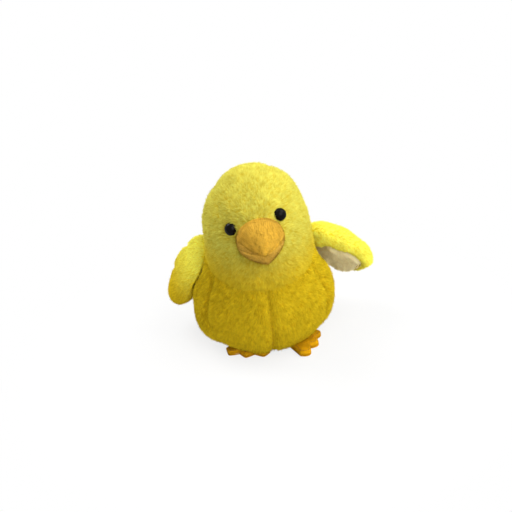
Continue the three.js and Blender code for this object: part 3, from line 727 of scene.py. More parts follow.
def scattered(mesh, density, draw):
    """Spots drawn evenly over a mesh, so many on each square millimetre, and the ways out there. A triangle's
    corners share a spot as 1 - a, a (1 - b) and a b, with a the root of one draw and b another draw."""
    mesh.calc_loop_triangles()
    points, out = read(mesh.vertices, "co").astype(float), read(mesh.vertex_normals, "vector").astype(float)
    corners = read(mesh.loop_triangles, "vertices", np.int32)
    a, b, c = (points[corners[:, k]] for k in range(3))
    area = np.linalg.norm(np.cross(b - a, c - a), axis=1) / 2
    count = int(area.sum() * 1e6 * density)
    pick = corners[np.searchsorted(np.cumsum(area) / area.sum(), draw.uniform(0, 1 - 1e-9, count))]
    first, second = np.sqrt(draw.uniform(size=count)), draw.uniform(size=count)
    share = np.stack([1 - first, first * (1 - second), first * second], -1)
    root, up = (np.einsum("nk,nkd->nd", share, values[pick]) for values in (points, out))
    return root, unit(up)


def even(share):
    """Reach of a pile that is the same all over."""
    return lambda spots: np.full(len(spots), share)


def one_way(way):
    """Lie of a pile that is the same all over."""
    return lambda spots: np.tile(way, (len(spots), 1))


def pile_on(panel, name, look, seed, lie, reach, tuft=None, keep=None, gather=1.0, near=None, rough=0.14,
            shade=None, lift=0.0):
    """Plush on a panel: three-sided tufts drawn evenly over its area, each leaning from the way out of the
    cloth towards the way that the pile lies, and drawn in to the middle of its clump, with a shade of its own.
    The normals follow the cloth, not the sides of the tufts, with some roughness, and lift turns them up."""
    cloth = sizes().cloth
    radius, long, density, lean = tuft or (cloth.tuft_radius, cloth.pile_length, cloth.density, cloth.lean)
    draw = np.random.default_rng(seed)
    root, up = scattered(panel.data, density, draw)
    size = reach(root)
    kept = size > LEAST_TUFT
    if keep is not None:
        kept &= keep(root)
    root, up, size = root[kept], up[kept], size[kept]
    count = len(root)
    centre, own = clumps(root, cloth.clump, CLUMP_SEED)
    own = gather * (2 * own - 1)
    way = lie(root) + LIE_DRIFT * np.stack([ripple(root, LIE_WAVE, seed + k) for k in (1, 2, 3)], -1)
    way = unit(level_with(way, up))
    side = np.cross(up, way)
    swing = (draw.normal(0, SWING, count) + CLUMP_SWING * own[:, 0])[:, None]
    way, side = way * np.cos(swing) + side * np.sin(swing), side * np.cos(swing) - way * np.sin(swing)
    tilt = (lean + CLUMP_TILT * own[:, 1] + draw.normal(0, TILT, count))[:, None]
    tall = (long * size * draw.uniform(0.82, 1.15, count) * (1 + CLUMP_TALL * own[:, 2]))[:, None]
    inward = level_with(centre - root, up)
    tip = root + tall * (np.cos(tilt) * up + np.sin(tilt) * way)
    tip += DRAWN_IN * gather * inward * np.minimum(1, size)[:, None]
    spin = (draw.uniform(0, 2 * np.pi, count)[:, None] + full_turn(3))[..., None]
    wide = (radius * np.sqrt(size) * draw.uniform(0.8, 1.2, count))[:, None, None]
    ring = root[:, None] + wide * (np.cos(spin) * way[:, None] + np.sin(spin) * side[:, None])
    ring -= ROOT_DEPTH * up[:, None]
    tufts = np.concatenate([ring, tip[:, None]], 1)
    tufts[..., 2] = np.maximum(tufts[..., 2], FLOOR_CLEAR)
    faces = 4 * np.arange(count)[:, None, None] + np.array([[0, 1, 3], [1, 2, 3], [2, 0, 3], [0, 2, 1]])
    pile = mesh_of(name, tufts.reshape(-1, 3), [faces.reshape(-1, 3)])
    tone = TONE * draw.normal(0, 1, count) + CLUMP_TONE * own[:, 3]
    if shade is not None:
        tone += shade(root)
    keep_values(pile, along=np.tile([0, 0, 0, 1], count), tone=np.repeat(tone, 4))
    if near is not None:
        keep_values(pile, near=np.repeat(near(root), 4))
    soft = up + LIE_TURN * way + np.array([0, 0, lift]) + rough * draw.normal(size=up.shape)
    soft = unit(soft - CLUMP_TURN * gather * inward / cloth.clump)
    normals = pile.attributes.new("custom_normal", "FLOAT_VECTOR", "POINT")
    normals.data.foreach_set("vector", np.repeat(soft, 4, 0).astype(np.float32).ravel())
    pile.update()
    return piece_of(pile, panel["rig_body"], look)


# Looks
def add(tree, kind, inputs=None, **settings):
    """New node with its settings, and its inputs set to values or linked to sockets."""
    made = tree.nodes.new(kind)
    for key, value in settings.items():
        setattr(made, key, value)
    for key, value in (inputs or {}).items():
        if isinstance(value, bpy.types.NodeSocket):
            tree.links.new(value, made.inputs[key])
        else:
            made.inputs[key].default_value = value
    return made


def new_look(name):
    """New material, and its nodes."""
    look = bpy.data.materials.new(name)
    look.use_nodes = True
    return look, look.node_tree


def place_of(tree):
    """Where a point lies on its piece."""
    return add(tree, "ShaderNodeTexCoord").outputs["Object"]


def stored(tree, name):
    """Number that a mesh stores for its points."""
    return add(tree, "ShaderNodeAttribute", attribute_name=name).outputs["Fac"]


def noise(tree, scale, detail=3.0):
    """Soft noise from 0 to 1."""
    inputs = {"Vector": place_of(tree), "Scale": scale, "Detail": detail}
    return add(tree, "ShaderNodeTexNoise", inputs).outputs["Fac"]


def blotches(tree, scale, low, high):
    """Soft blotches between two shades."""
    return ranged(tree, noise(tree, scale, 4), low, high, 0.3, 0.7)


def waves(tree, scale, way, distortion=0.0):
    """Bands from 0 to 1 across a way."""
    inputs = {"Vector": place_of(tree), "Scale": scale, "Distortion": distortion}
    return add(tree, "ShaderNodeTexWave", inputs, bands_direction=way).outputs["Fac"]


def cells(tree, scale):
    """Distance from the middle of the nearest of scattered cells."""
    return add(tree, "ShaderNodeTexVoronoi", {"Vector": place_of(tree), "Scale": scale}).outputs["Distance"]


def worked(tree, how, *values):
    """Result of a step of arithmetic."""
    return add(tree, "ShaderNodeMath", dict(enumerate(values)), operation=how).outputs[0]


def ranged(tree, value, low, high, start=0.0, end=1.0):
    """Value moved from the range start to end into the range low to high, and held in it."""
    return add(tree, "ShaderNodeMapRange", {"Value": value, "From Min": start, "From Max": end,
                                            "To Min": low, "To Max": high}).outputs["Result"]


def mixed(tree, share, a, b, how="MIX"):
    """Two colours mixed by a share."""
    return add(tree, "ShaderNodeMix", {0: share, 6: a, 7: b}, data_type="RGBA", blend_type=how).outputs[2]


def shaded(tree, tint, share):
    """Colour times a share."""
    return mixed(tree, 1.0, tint, share, "MULTIPLY")


def full(rgb, share=1.0):
    """Colour with its alpha, each part times a share."""
    return (rgb[0] * share, rgb[1] * share, rgb[2] * share, 1.0)


def seen_plainly(tree):
    """1 for rays from the camera, from gloss and through clear things, which see white, and 0 for others."""
    path = add(tree, "ShaderNodeLightPath").outputs
    seen = worked(tree, "MAXIMUM", path["Is Camera Ray"], path["Is Glossy Ray"])
    return worked(tree, "MAXIMUM", seen, path["Is Transmission Ray"])


def finished(look, tint, rough, bump=None, sheen=None, gloss=None):
    """Look with its colour and roughness, a bump of (height, strength, distance), a sheen of (weight,
    roughness, colour), and how much of the light it mirrors."""
    tree = look.node_tree
    shader = tree.nodes["Principled BSDF"]
    tree.links.new(tint, shader.inputs["Base Color"])
    tree.links.new(rough, shader.inputs["Roughness"])
    if bump is not None:
        made = add(tree, "ShaderNodeBump", dict(zip(("Height", "Strength", "Distance"), bump)))
        tree.links.new(made.outputs["Normal"], shader.inputs["Normal"])
    if sheen is not None:
        weight, spread, shine = sheen
        shader.inputs["Sheen Weight"].default_value = weight
        shader.inputs["Sheen Roughness"].default_value = spread
        shader.inputs["Sheen Tint"].default_value = full(shine)
    if gloss is not None:
        shader.inputs["Specular IOR Level"].default_value = gloss
    return look


def pile_look(name, root, tip, next_root=None, next_tip=None, vary=(0.84, 1.14)):
    """Cut pile: roots in a deep colour, painted shade deep in the pile, tips pale, a shade of its own for each
    tuft, and soft blotches. Where the next panel's colours are given, it turns to them by the value "near",
    as painted shade on the lowered wing and partly as painted shade on the head."""
    look, tree = new_look(name)
    tone = stored(tree, "tone")
    own = worked(tree, "MULTIPLY_ADD", tone, 0.2, stored(tree, "along"))
    along = add(tree, "ShaderNodeClamp", {0: own}).outputs[0]
    tint = mixed(tree, along, full(root), full(tip))
    if next_root is not None:
        tint = mixed(tree, stored(tree, "near"), tint, mixed(tree, along, full(next_root), full(next_tip)))
    tint = shaded(tree, shaded(tree, tint, ranged(tree, tone, *vary, -2, 2)), blotches(tree, 210, 0.92, 1.06))
    return finished(look, tint, ranged(tree, tone, 0.78, 0.95, -2, 2), sheen=(0.06, 0.5, tip), gloss=0.0)


def backing_look(name, tint):
    """Knitted backing under the pile: rows of loops about a millimetre apart, in the colour of the roots."""
    look, tree = new_look(name)
    rows, loops = waves(tree, 160, "Z", 3.0), cells(tree, 900)
    tinted = shaded(tree, full(tint), ranged(tree, rows, 0.8, 1.05))
    rough = ranged(tree, loops, 0.8, 0.98)
    return finished(look, tinted, rough, (loops, 0.5, 0.0004), (0.2, 0.5, tint), CLOTH_GLOSS)


def velour_look(name, tint):
    """Brushed velour under the nap: fine lines from the root to the tip, and soft blotches."""
    look, tree = new_look(name)
    line = worked(tree, "SINE", stored(tree, "around"))
    strength = ranged(tree, noise(tree, 130), 0.15, 1.0, 0.35, 0.65)
    rows = mixed(tree, strength, (1, 1, 1, 1), ranged(tree, line, 0.62, 1.06, -1, 1))
    tinted = shaded(tree, shaded(tree, full(tint, 0.95), blotches(tree, 160, 0.90, 1.08)), rows)
    rough = ranged(tree, noise(tree, 900), 0.75, 0.95)
    return finished(look, tinted, rough, (line, 0.25, 0.0003), (0.3, 0.4, tint), CLOTH_GLOSS)


def felt_look(name, tint):
    """Pressed felt: crossed fibres, small pits, and blotches of shade."""
    look, tree = new_look(name)
    fibres = noise(tree, 2600, 6)
    tinted = shaded(tree, full(tint), blotches(tree, 220, 0.78, 1.16))
    tinted = shaded(tree, tinted, ranged(tree, fibres, 0.75, 1.2, 0.3, 0.7))
    relief, rough = shaded(tree, fibres, cells(tree, 1500)), ranged(tree, fibres, 0.8, 0.98)
    return finished(look, tinted, rough, (relief, 0.6, 0.0005), (0.15, 0.4, tint), 0.05)


def grained_look(name, tint, pattern, shades, roughs, strength, distance):
    """One pattern that shows in colour, in roughness and as relief."""
    look, tree = new_look(name)
    grain = pattern(tree)
    tinted = shaded(tree, full(tint), ranged(tree, grain, *shades))
    return finished(look, tinted, ranged(tree, grain, *roughs), (grain, strength, distance))


def thread_look(name, tint):
    """Sewing thread: slanted twist and a slight gloss."""
    return grained_look(name, tint, lambda tree: waves(tree, 1400, "DIAGONAL", 1.0), (0.7, 1.15), (0.5, 0.75),
                        0.5, 0.0002)


def bead_look(name, tint):
    """Polished black plastic with a little dust and fine scuffs in its gloss."""
    look, tree = new_look(name)
    dust = ranged(tree, noise(tree, 1400, 5), 0.0, 1.0, 0.62, 0.8)
    dusty = mixed(tree, dust, full(tint), full((0.012, 0.010, 0.006)))
    return finished(look, dusty, blotches(tree, 500, 0.05, 0.16), gloss=0.06)


def fibre_look(name, tint):
    """Fibre fill: wisps at two sizes with soft shade between them."""
    look, tree = new_look(name)
    wisps, wads = noise(tree, 420, 8), noise(tree, 90, 3)
    tinted = shaded(tree, full(tint), ranged(tree, wads, 0.85, 1.05))
    tinted = shaded(tree, tinted, ranged(tree, wisps, 0.8, 1.08))
    rough = ranged(tree, wisps, 0.85, 1.0)
    return finished(look, tinted, rough, (wisps, 0.8, 0.001), (0.3, 0.6, tint), CLOTH_GLOSS)


def weave_look(name, tint):
    """Plain weave: two crossed sets of threads about half a millimetre apart."""
    return grained_look(name, tint, lambda tree: shaded(tree, waves(tree, 320, "X"), waves(tree, 320, "Y")),
                        (0.8, 1.05), (0.75, 0.95), 0.5, 0.0003)


def plastic_look(name, tint):
    """Moulded matt plastic with a fine grain."""
    return grained_look(name, tint, lambda tree: noise(tree, 1800), (0.92, 1.04), (0.45, 0.65), 0.2, 0.0001)


def floor_look(name, tint):
    """Pale floor that shows white to the camera, less so near the toy, and so still takes a soft shadow."""
    look, tree = new_look(name)
    shader = tree.nodes["Principled BSDF"]
    shader.inputs["Roughness"].default_value = 0.9
    grain = ranged(tree, noise(tree, 30, 4), 0.98, 1.0)
    tree.links.new(shaded(tree, full(tint), grain), shader.inputs["Base Color"])
    away = add(tree, "ShaderNodeVectorMath", {0: place_of(tree)}, operation="LENGTH").outputs["Value"]
    share = worked(tree, "MULTIPLY", seen_plainly(tree), ranged(tree, away, 0.78, 1.0, 0.05, 0.18))
    white = add(tree, "ShaderNodeEmission", {"Color": (1, 1, 1, 1), "Strength": 1.0})
    both = add(tree, "ShaderNodeMixShader", {0: share, 1: shader.outputs[0], 2: white.outputs[0]})
    tree.links.new(both.outputs[0], tree.nodes["Material Output"].inputs["Surface"])
    return look


# Leaves: wings and tail, each with its own cut
# shade: how far a leaf's upper pile turns to the body's deeper colours towards its end, which is painted shade
LeafCut = namedtuple("LeafCut", "lobes lobe_depth lead trail bend stretch shade")


def leaf_outline(turn, leaf, cut):
    """Flat leaf along +X: half widths root / 2 x (1 - along) + (side - root / 4) x |sin turn|, with
    along = (1 - cos turn) / 2, and lobes on the trailing side, +Y."""
    along = (1 - np.cos(turn)) / 2
    front = turn < np.pi
    side = np.where(front, cut.lead, cut.trail)
    half = (leaf.root / 2) * (1 - along) + (side - leaf.root / 4) * np.abs(np.sin(turn))
    lobe = cut.lobe_depth * along * np.abs(np.sin(cut.lobes * np.pi * along))
    return np.stack([leaf.length * along, np.where(front, -half, half + lobe)], -1)


def leaf_grid(leaf, cut, inset):
    """Closed leaf as a grid of rows from the middle of its outer face, over the edge and the seam, to the
    middle of its underside, and which row is the seam. Heights follow the swell sqrt(1 - share^4) over spokes
    from the middle."""
    turn = full_turn(LEAF_COLUMNS, 0.5)
    middle = np.array([leaf.length / 2, 0])
    spoke = leaf_outline(turn, leaf, cut) - middle
    reach = np.linalg.norm(spoke, axis=1)
    spoke *= (1 - inset / reach)[:, None]
    past_tip = np.clip((turn - np.pi) / WRAP_END, 0, 1)
    wrapped = np.where(turn < np.pi, 1.0, 1 - smooth(past_tip))
    taper = 1 - WRAP_TAPER * smooth((1 - np.cos(turn)) / 2)
    seam = 1 - np.maximum(wrapped * taper * leaf.wrap, EDGE_WRAP) / reach
    over = np.sin(np.pi / 2 * np.linspace(POLE, 1, FACE_ROWS))
    round_ = np.cos(np.pi / 2 * np.linspace(0, 1, WRAP_ROWS + 1)[1:])
    back = np.cos(np.pi / 2 * np.linspace(0, 1 - POLE, FACE_ROWS)[1:])
    share = np.concatenate([np.broadcast_to(over[:, None], (len(over), len(turn))),
                            seam + (1 - seam) * round_[:, None],
                            seam * back[:, None]])
    high = np.concatenate([np.full(len(over), leaf.crown - inset / 2),
                           np.full(len(round_) + len(back), inset / 2 - leaf.hollow)])
    flat = middle + share[..., None] * spoke
    points = np.concatenate([flat, (high[:, None] * swell_share(share))[..., None]], -1)
    return points, len(over) + len(round_) - 1


def feather_creases(points, leaf, cut):
    """Pull of the stitched lines from the notches between the lobes, deepest at the trailing edge."""
    total = np.zeros(points.shape[:-1])
    for k in range(1, cut.lobes):
        line = leaf.length * k / cut.lobes - CREASE_SLANT * (cut.trail - points[..., 1])
        total += pulled(points[..., 0] - line, CREASE_DEPTH, CREASE_WIDTH) * smooth(points[..., 1] / cut.trail)
    return total


def clear_of_body(points, room):
    """Moves points that are inside the body's skin, grown by some room, level out to it."""
    across, deep = body_section(np.clip(points[..., 2], 0, None), -room)
    share = np.hypot(points[..., 0] / across, points[..., 1] / deep)
    moved = points.copy()
    moved[..., :2] *= np.where(share < 1, 1 / np.maximum(share, LEAST_SHARE), 1)[..., None]
    return moved


def clear_of_head(points, room):
    """Moves points that are inside the head's skin, grown by some room, level out to it, over the neck seam."""
    forward = np.array([0, sizes().head.forward, 0])
    across, deep = head_section(points[..., 2], -room)
    local = points + forward
    share = np.hypot(local[..., 0] / np.maximum(across, 1e-4), local[..., 1] / np.maximum(deep, 1e-4))
    inside = (share < 1) & (over_seam(points) > -room)
    local[..., :2] *= np.where(inside, 1 / np.maximum(share, LEAST_SHARE), 1)[..., None]
    return local - forward


def bent(points, long, bend):
    """Rolls a leaf down along its length on an arc of radius r = long / bend: x = (r + z) sin(x / r) and
    z = (r + z) cos(x / r) - r."""
    radius = long / bend
    turn, high = points[..., 0] / radius, radius + points[..., 2]
    return np.stack([high * np.sin(turn), points[..., 1], high * np.cos(turn) - radius], -1)


def leaf_looks(name):
    """Looks of a leaf's cloth, pile and stuffing. Its upper pile can turn to the body's deeper colours, as
    painted shade.
    """
    colours = sizes().colour
    return {
        "backing": backing_look(f"{name}_backing", colours.wing_root),
        "cream_backing": backing_look(f"{name}_cream_backing", colours.cream_root),
        "pile": pile_look(f"{name}_pile", colours.wing_root, colours.wing_tip,
                          colours.body_root, colours.body_tip, (0.76, 1.22)),
        "cream": pile_look(f"{name}_cream_pile", colours.cream_root, colours.cream_tip),
        "fibre": fibre_look(f"{name}_fibre", colours.fibre),
    }


def make_leaf(name, leaf, cut, place, side, looks, seed):
    """Outer panel, underside panel, stuffing and pile of one leaf, bent and put in its place. The normals of
    its grid point inwards, so seams pull along them and lumps rise against them."""
    cloth = sizes().cloth
    points, seam_row = leaf_grid(leaf, cut, LEAF_INSET * cloth.pile_height)
    points[..., 0] *= cut.stretch
    points[..., 0] += leaf.sink * (points[..., 0] / leaf.length - 1)
    seam = (np.arange(len(points)) == seam_row)[:, None]
    points = swollen(points, seam | (points[..., 0] < ROOT_SHARE * leaf.length))
    off_seam = np.linalg.norm(points - points[seam_row], axis=-1)
    pull = pulled(off_seam, cloth.seam_depth, cloth.seam_width) + feather_creases(points, leaf, cut)
    points += pull[..., None] * grid_normals(points)
    uneven = LEAF_UNEVEN * ripple(points, LEAF_WAVE, seed) * smooth(points[..., 0] / ROOT_FADE)
    points -= uneven[..., None] * grid_normals(points)
    fill = points * np.array(LEAF_FILL) + np.array([LEAF_FILL_START * leaf.length, 0, 0])
    handed = np.array([side, 1, 1])
    points, fill = (bent(form, leaf.length, cut.bend) * handed for form in (points, fill))
    room = LEAF_ROOM - 1.3 * leaf.sink * (1 - smooth(np.abs(points[..., 0]) / 0.010))
    world = clear_of_head(clear_of_body(placed(points, place), room), 2 * LEAF_ROOM)
    order = slice(None, None, -1) if side > 0 else slice(None)
    top = grid_mesh(f"{name}_top_cloth", world[: seam_row + 1, order], True, True, False)
    under = grid_mesh(f"{name}_underside_cloth", world[seam_row:, order], True, False, True)
    top = panel_of(top, name, looks["backing"], f"{name}_top")
    under = panel_of(under, name, looks["cream_backing"], f"{name}_underside")
    closed_piece(f"{name}_stuffing_fill", placed(fill, place)[:, order], name, looks["fibre"],
                 f"{name}_stuffing")
    turned, start = np.array(place.to_3x3()), np.array(place.translation)
    span, edge = turned[:, 0] * side, turned[:, 1]

    def near(spots):
        """How far the pile turns to the body's deeper colours as painted shade towards the leaf's end: nothing
        at the root, and all from 0.8 of the length.
        """
        return cut.shade * smooth(((spots - start) @ span / leaf.length - 0.15) / 0.65)

    tuft = (cloth.tuft_radius, 0.9 * cloth.pile_length, 0.75 * cloth.density, cloth.lean + math.radians(13))
    lie, reach = one_way(span + 0.35 * edge), even(0.95)
    pile_on(top, f"{name}_top_pile", looks["pile"], seed, lie, reach, tuft, gather=0.5, near=near,
            rough=0.08, lift=0.5)
    pile_on(under, f"{name}_underside_pile", looks["cream"], seed + 50, lie, reach, tuft,
            gather=0.5, rough=0.08)


class CANARY_OT_body(bpy.types.Operator):
    """Sews the four body panels and the base, with their pile and what is inside"""
    bl_idname = "canary.body"
    bl_label = "Body"

    def execute(self, context):
        """Grid round the body, swollen and sewn, cut into panels at its seams, each with its pile."""
        cloth, colours = sizes().cloth, sizes().colour
        side = sizes().body.side_seam
        spans = ((-np.pi, -side, BACK_COLUMNS, "back_panel_right"),
                 (-side, 0, BELLY_COLUMNS, "belly_panel_right"),
                 (0, side, BELLY_COLUMNS, "belly_panel_left"),
                 (side, np.pi, BACK_COLUMNS, "back_panel_left"))
        turn = np.concatenate([a + (b - a) * eased(n)[:-1] for a, b, n, _ in spans])
        skin = self.skin(turn, cloth.pile_height)
        off = np.abs(turn[:, None] - np.array([-np.pi, -side, 0, side, np.pi])).min(1)
        radius = np.linalg.norm(skin[..., :2], axis=-1)
        held = np.broadcast_to(off < 1e-6, radius.shape).copy()
        held[[0, -1]] = True
        skin = self.sewn(swollen(skin, held), radius * off)
        whole = np.concatenate([skin, skin[:, :1]], 1)
        backing = backing_look("body_backing", 0.5 * colours.body_root + 0.5 * colours.body_tip)
        pile = pile_look("body_pile", colours.body_root, colours.body_tip, vary=(0.68, 1.26))
        start = 0
        for seed, (_, _, count, name) in enumerate(spans):
            mesh = grid_mesh(f"{name}_cloth", whole[:, start: start + count])
            start += count - 1
            panel = panel_of(mesh, "body", backing, name)
            sparse = BACK_SPARSE if name.startswith("back") else 1.0
            radius = cloth.tuft_radius / math.sqrt(sparse)
            tuft = (radius, cloth.pile_length, sparse * cloth.density, cloth.lean)
            pile_on(panel, f"{name}_pile", pile, 100 + 10 * seed, self.lie, self.reach, tuft)
        self.base(backing, pile)
        self.inside(turn)
        return {"FINISHED"}

    @staticmethod
    def skin(turn, inset):
        """Rows of the body's skin from the base's edge up to where it ends under the head: on the shoulder
        ball, at a fixed angle from the neck seam's axis."""
        body, lean = sizes().body, sizes().head.seam_lean
        opening = math.acos(seam_height() / body.shoulder_radius) - body.tuck
        front, up = np.cos(turn) * math.sin(lean), math.cos(lean)
        rise = np.arctan2(up, front) - np.arccos(math.cos(opening) / np.hypot(up, front))
        top = NECK[2] + (body.shoulder_radius - inset) * np.sin(rise)
        return body_point(turn, HEM + (top - HEM) * eased(BODY_ROWS)[:, None], inset)

    @staticmethod
    def sewn(skin, off):
        """Skin drawn in along its seams and its hem, and pushed out by its lumps and as a collar."""
        cloth = sizes().cloth
        up_edge = np.cumsum(np.linalg.norm(np.diff(skin, axis=0, prepend=skin[:1]), axis=-1), axis=0)
        pull = pulled(off, cloth.seam_depth, cloth.seam_width) * smooth(skin[..., 2] / SEAM_FADE)
        pull += pulled(up_edge, *HEM_PULL) - pulled(over_seam(skin) + COLLAR_DROP, *COLLAR_SWELL)
        rise = lumps(skin, BODY_LUMPS) + BODY_UNEVEN * ripple(skin, UNEVEN_WAVE, 3)
        skin = skin + (rise - pull)[..., None] * grid_normals(skin)
        skin[..., 2] = np.maximum(skin[..., 2], 2 * FLOOR_CLEAR)
        return skin

    @staticmethod
    def lie(spots):
        """Down, and a little out to each side."""
        return np.array([0, 0, -1.0]) + 0.4 * np.sign(spots[:, :1]) * np.array([1.0, 0, 0])

    @staticmethod
    def reach(spots):
        """Share of the pile's length: more at the hem, less along the seams and under the head's edge."""
        over = over_seam(spots)
        across, deep = body_section(spots[:, 2], sizes().cloth.pile_height)
        turn = np.abs(np.arctan2(spots[:, 0] / across, -spots[:, 1] / deep))
        off = np.abs(turn[:, None] - np.array([0, sizes().body.side_seam, np.pi])).min(1)
        hem = 1 + pulled(spots[:, 2], 0.3, 0.006)
        seam = pulled(off * np.hypot(spots[:, 0], spots[:, 1]), 0.45, 0.0017) * smooth(spots[:, 2] / 0.012)
        return hem * (1 - seam) * (1 - 0.62 * smooth((over + 0.002) / 0.004)) * (over < 0.006)

    @staticmethod
    def base(backing, pile):
        """Flat round base: a closed disc of ovals that shrink to its middle, with its nap pressed flat."""
        cloth = sizes().cloth
        turn = full_turn(96)
        across, deep = body_section(HEM, cloth.pile_height)
        share = np.concatenate([np.linspace(POLE, 0.97, 14), [1.0]])[:, None]
        low = 2 * FLOOR_CLEAR + 0.0006 * smooth((share - 0.8) / 0.2)
        wide = 0.985 * share
        disc = np.stack(np.broadcast_arrays(wide * across * np.sin(turn), -wide * deep * np.cos(turn), low), -1)
        mesh = grid_mesh("base_panel_cloth", disc, True, True, False)
        panel = panel_of(mesh, "body", backing, "base_panel")
        flat = (cloth.tuft_radius, cloth.pile_length, 6.0, math.radians(82))
        pile_on(panel, "base_panel_pile", pile, 170, one_way((0, -1.0, 0)), even(0.6), flat)

    @staticmethod
    def inside(turn):
        """Stuffing under the skin, the look of the pellet bag, and the wad in the neck: a rounded post along
        the neck seam's axis that swells by a quarter in its middle."""
        colours = sizes().colour
        fibre = fibre_look("body_fibre", colours.fibre)
        core = CANARY_OT_body.skin(turn[::2], FILL_INSET)
        core = lumpy(core[core[:, 0, 2] > BAG_TOP], 5)
        closed_piece("body_stuffing_fill", core, "body", fibre, "body_stuffing")
        dress("pellet_bag", weave_look("bag_weave", colours.bag))
        axis = seam_axis()
        level = np.linspace(0, 1, 30)
        rounding = np.sqrt(np.clip(1 - (2 * level - 1) ** 6, 0.002, 1))
        wide = WAD_RADIUS * (1 + 0.25 * np.sin(np.pi * level)) * rounding
        right = np.array([1.0, 0, 0])
        along = NECK - WAD_DROP * axis + (WAD_LENGTH * level)[:, None, None] * axis
        wad = along + wide[:, None, None] * circle(right, np.cross(axis, right), 48)
        closed_piece("neck_stuffing_fill", wad, "neck", fibre, "neck_stuffing")


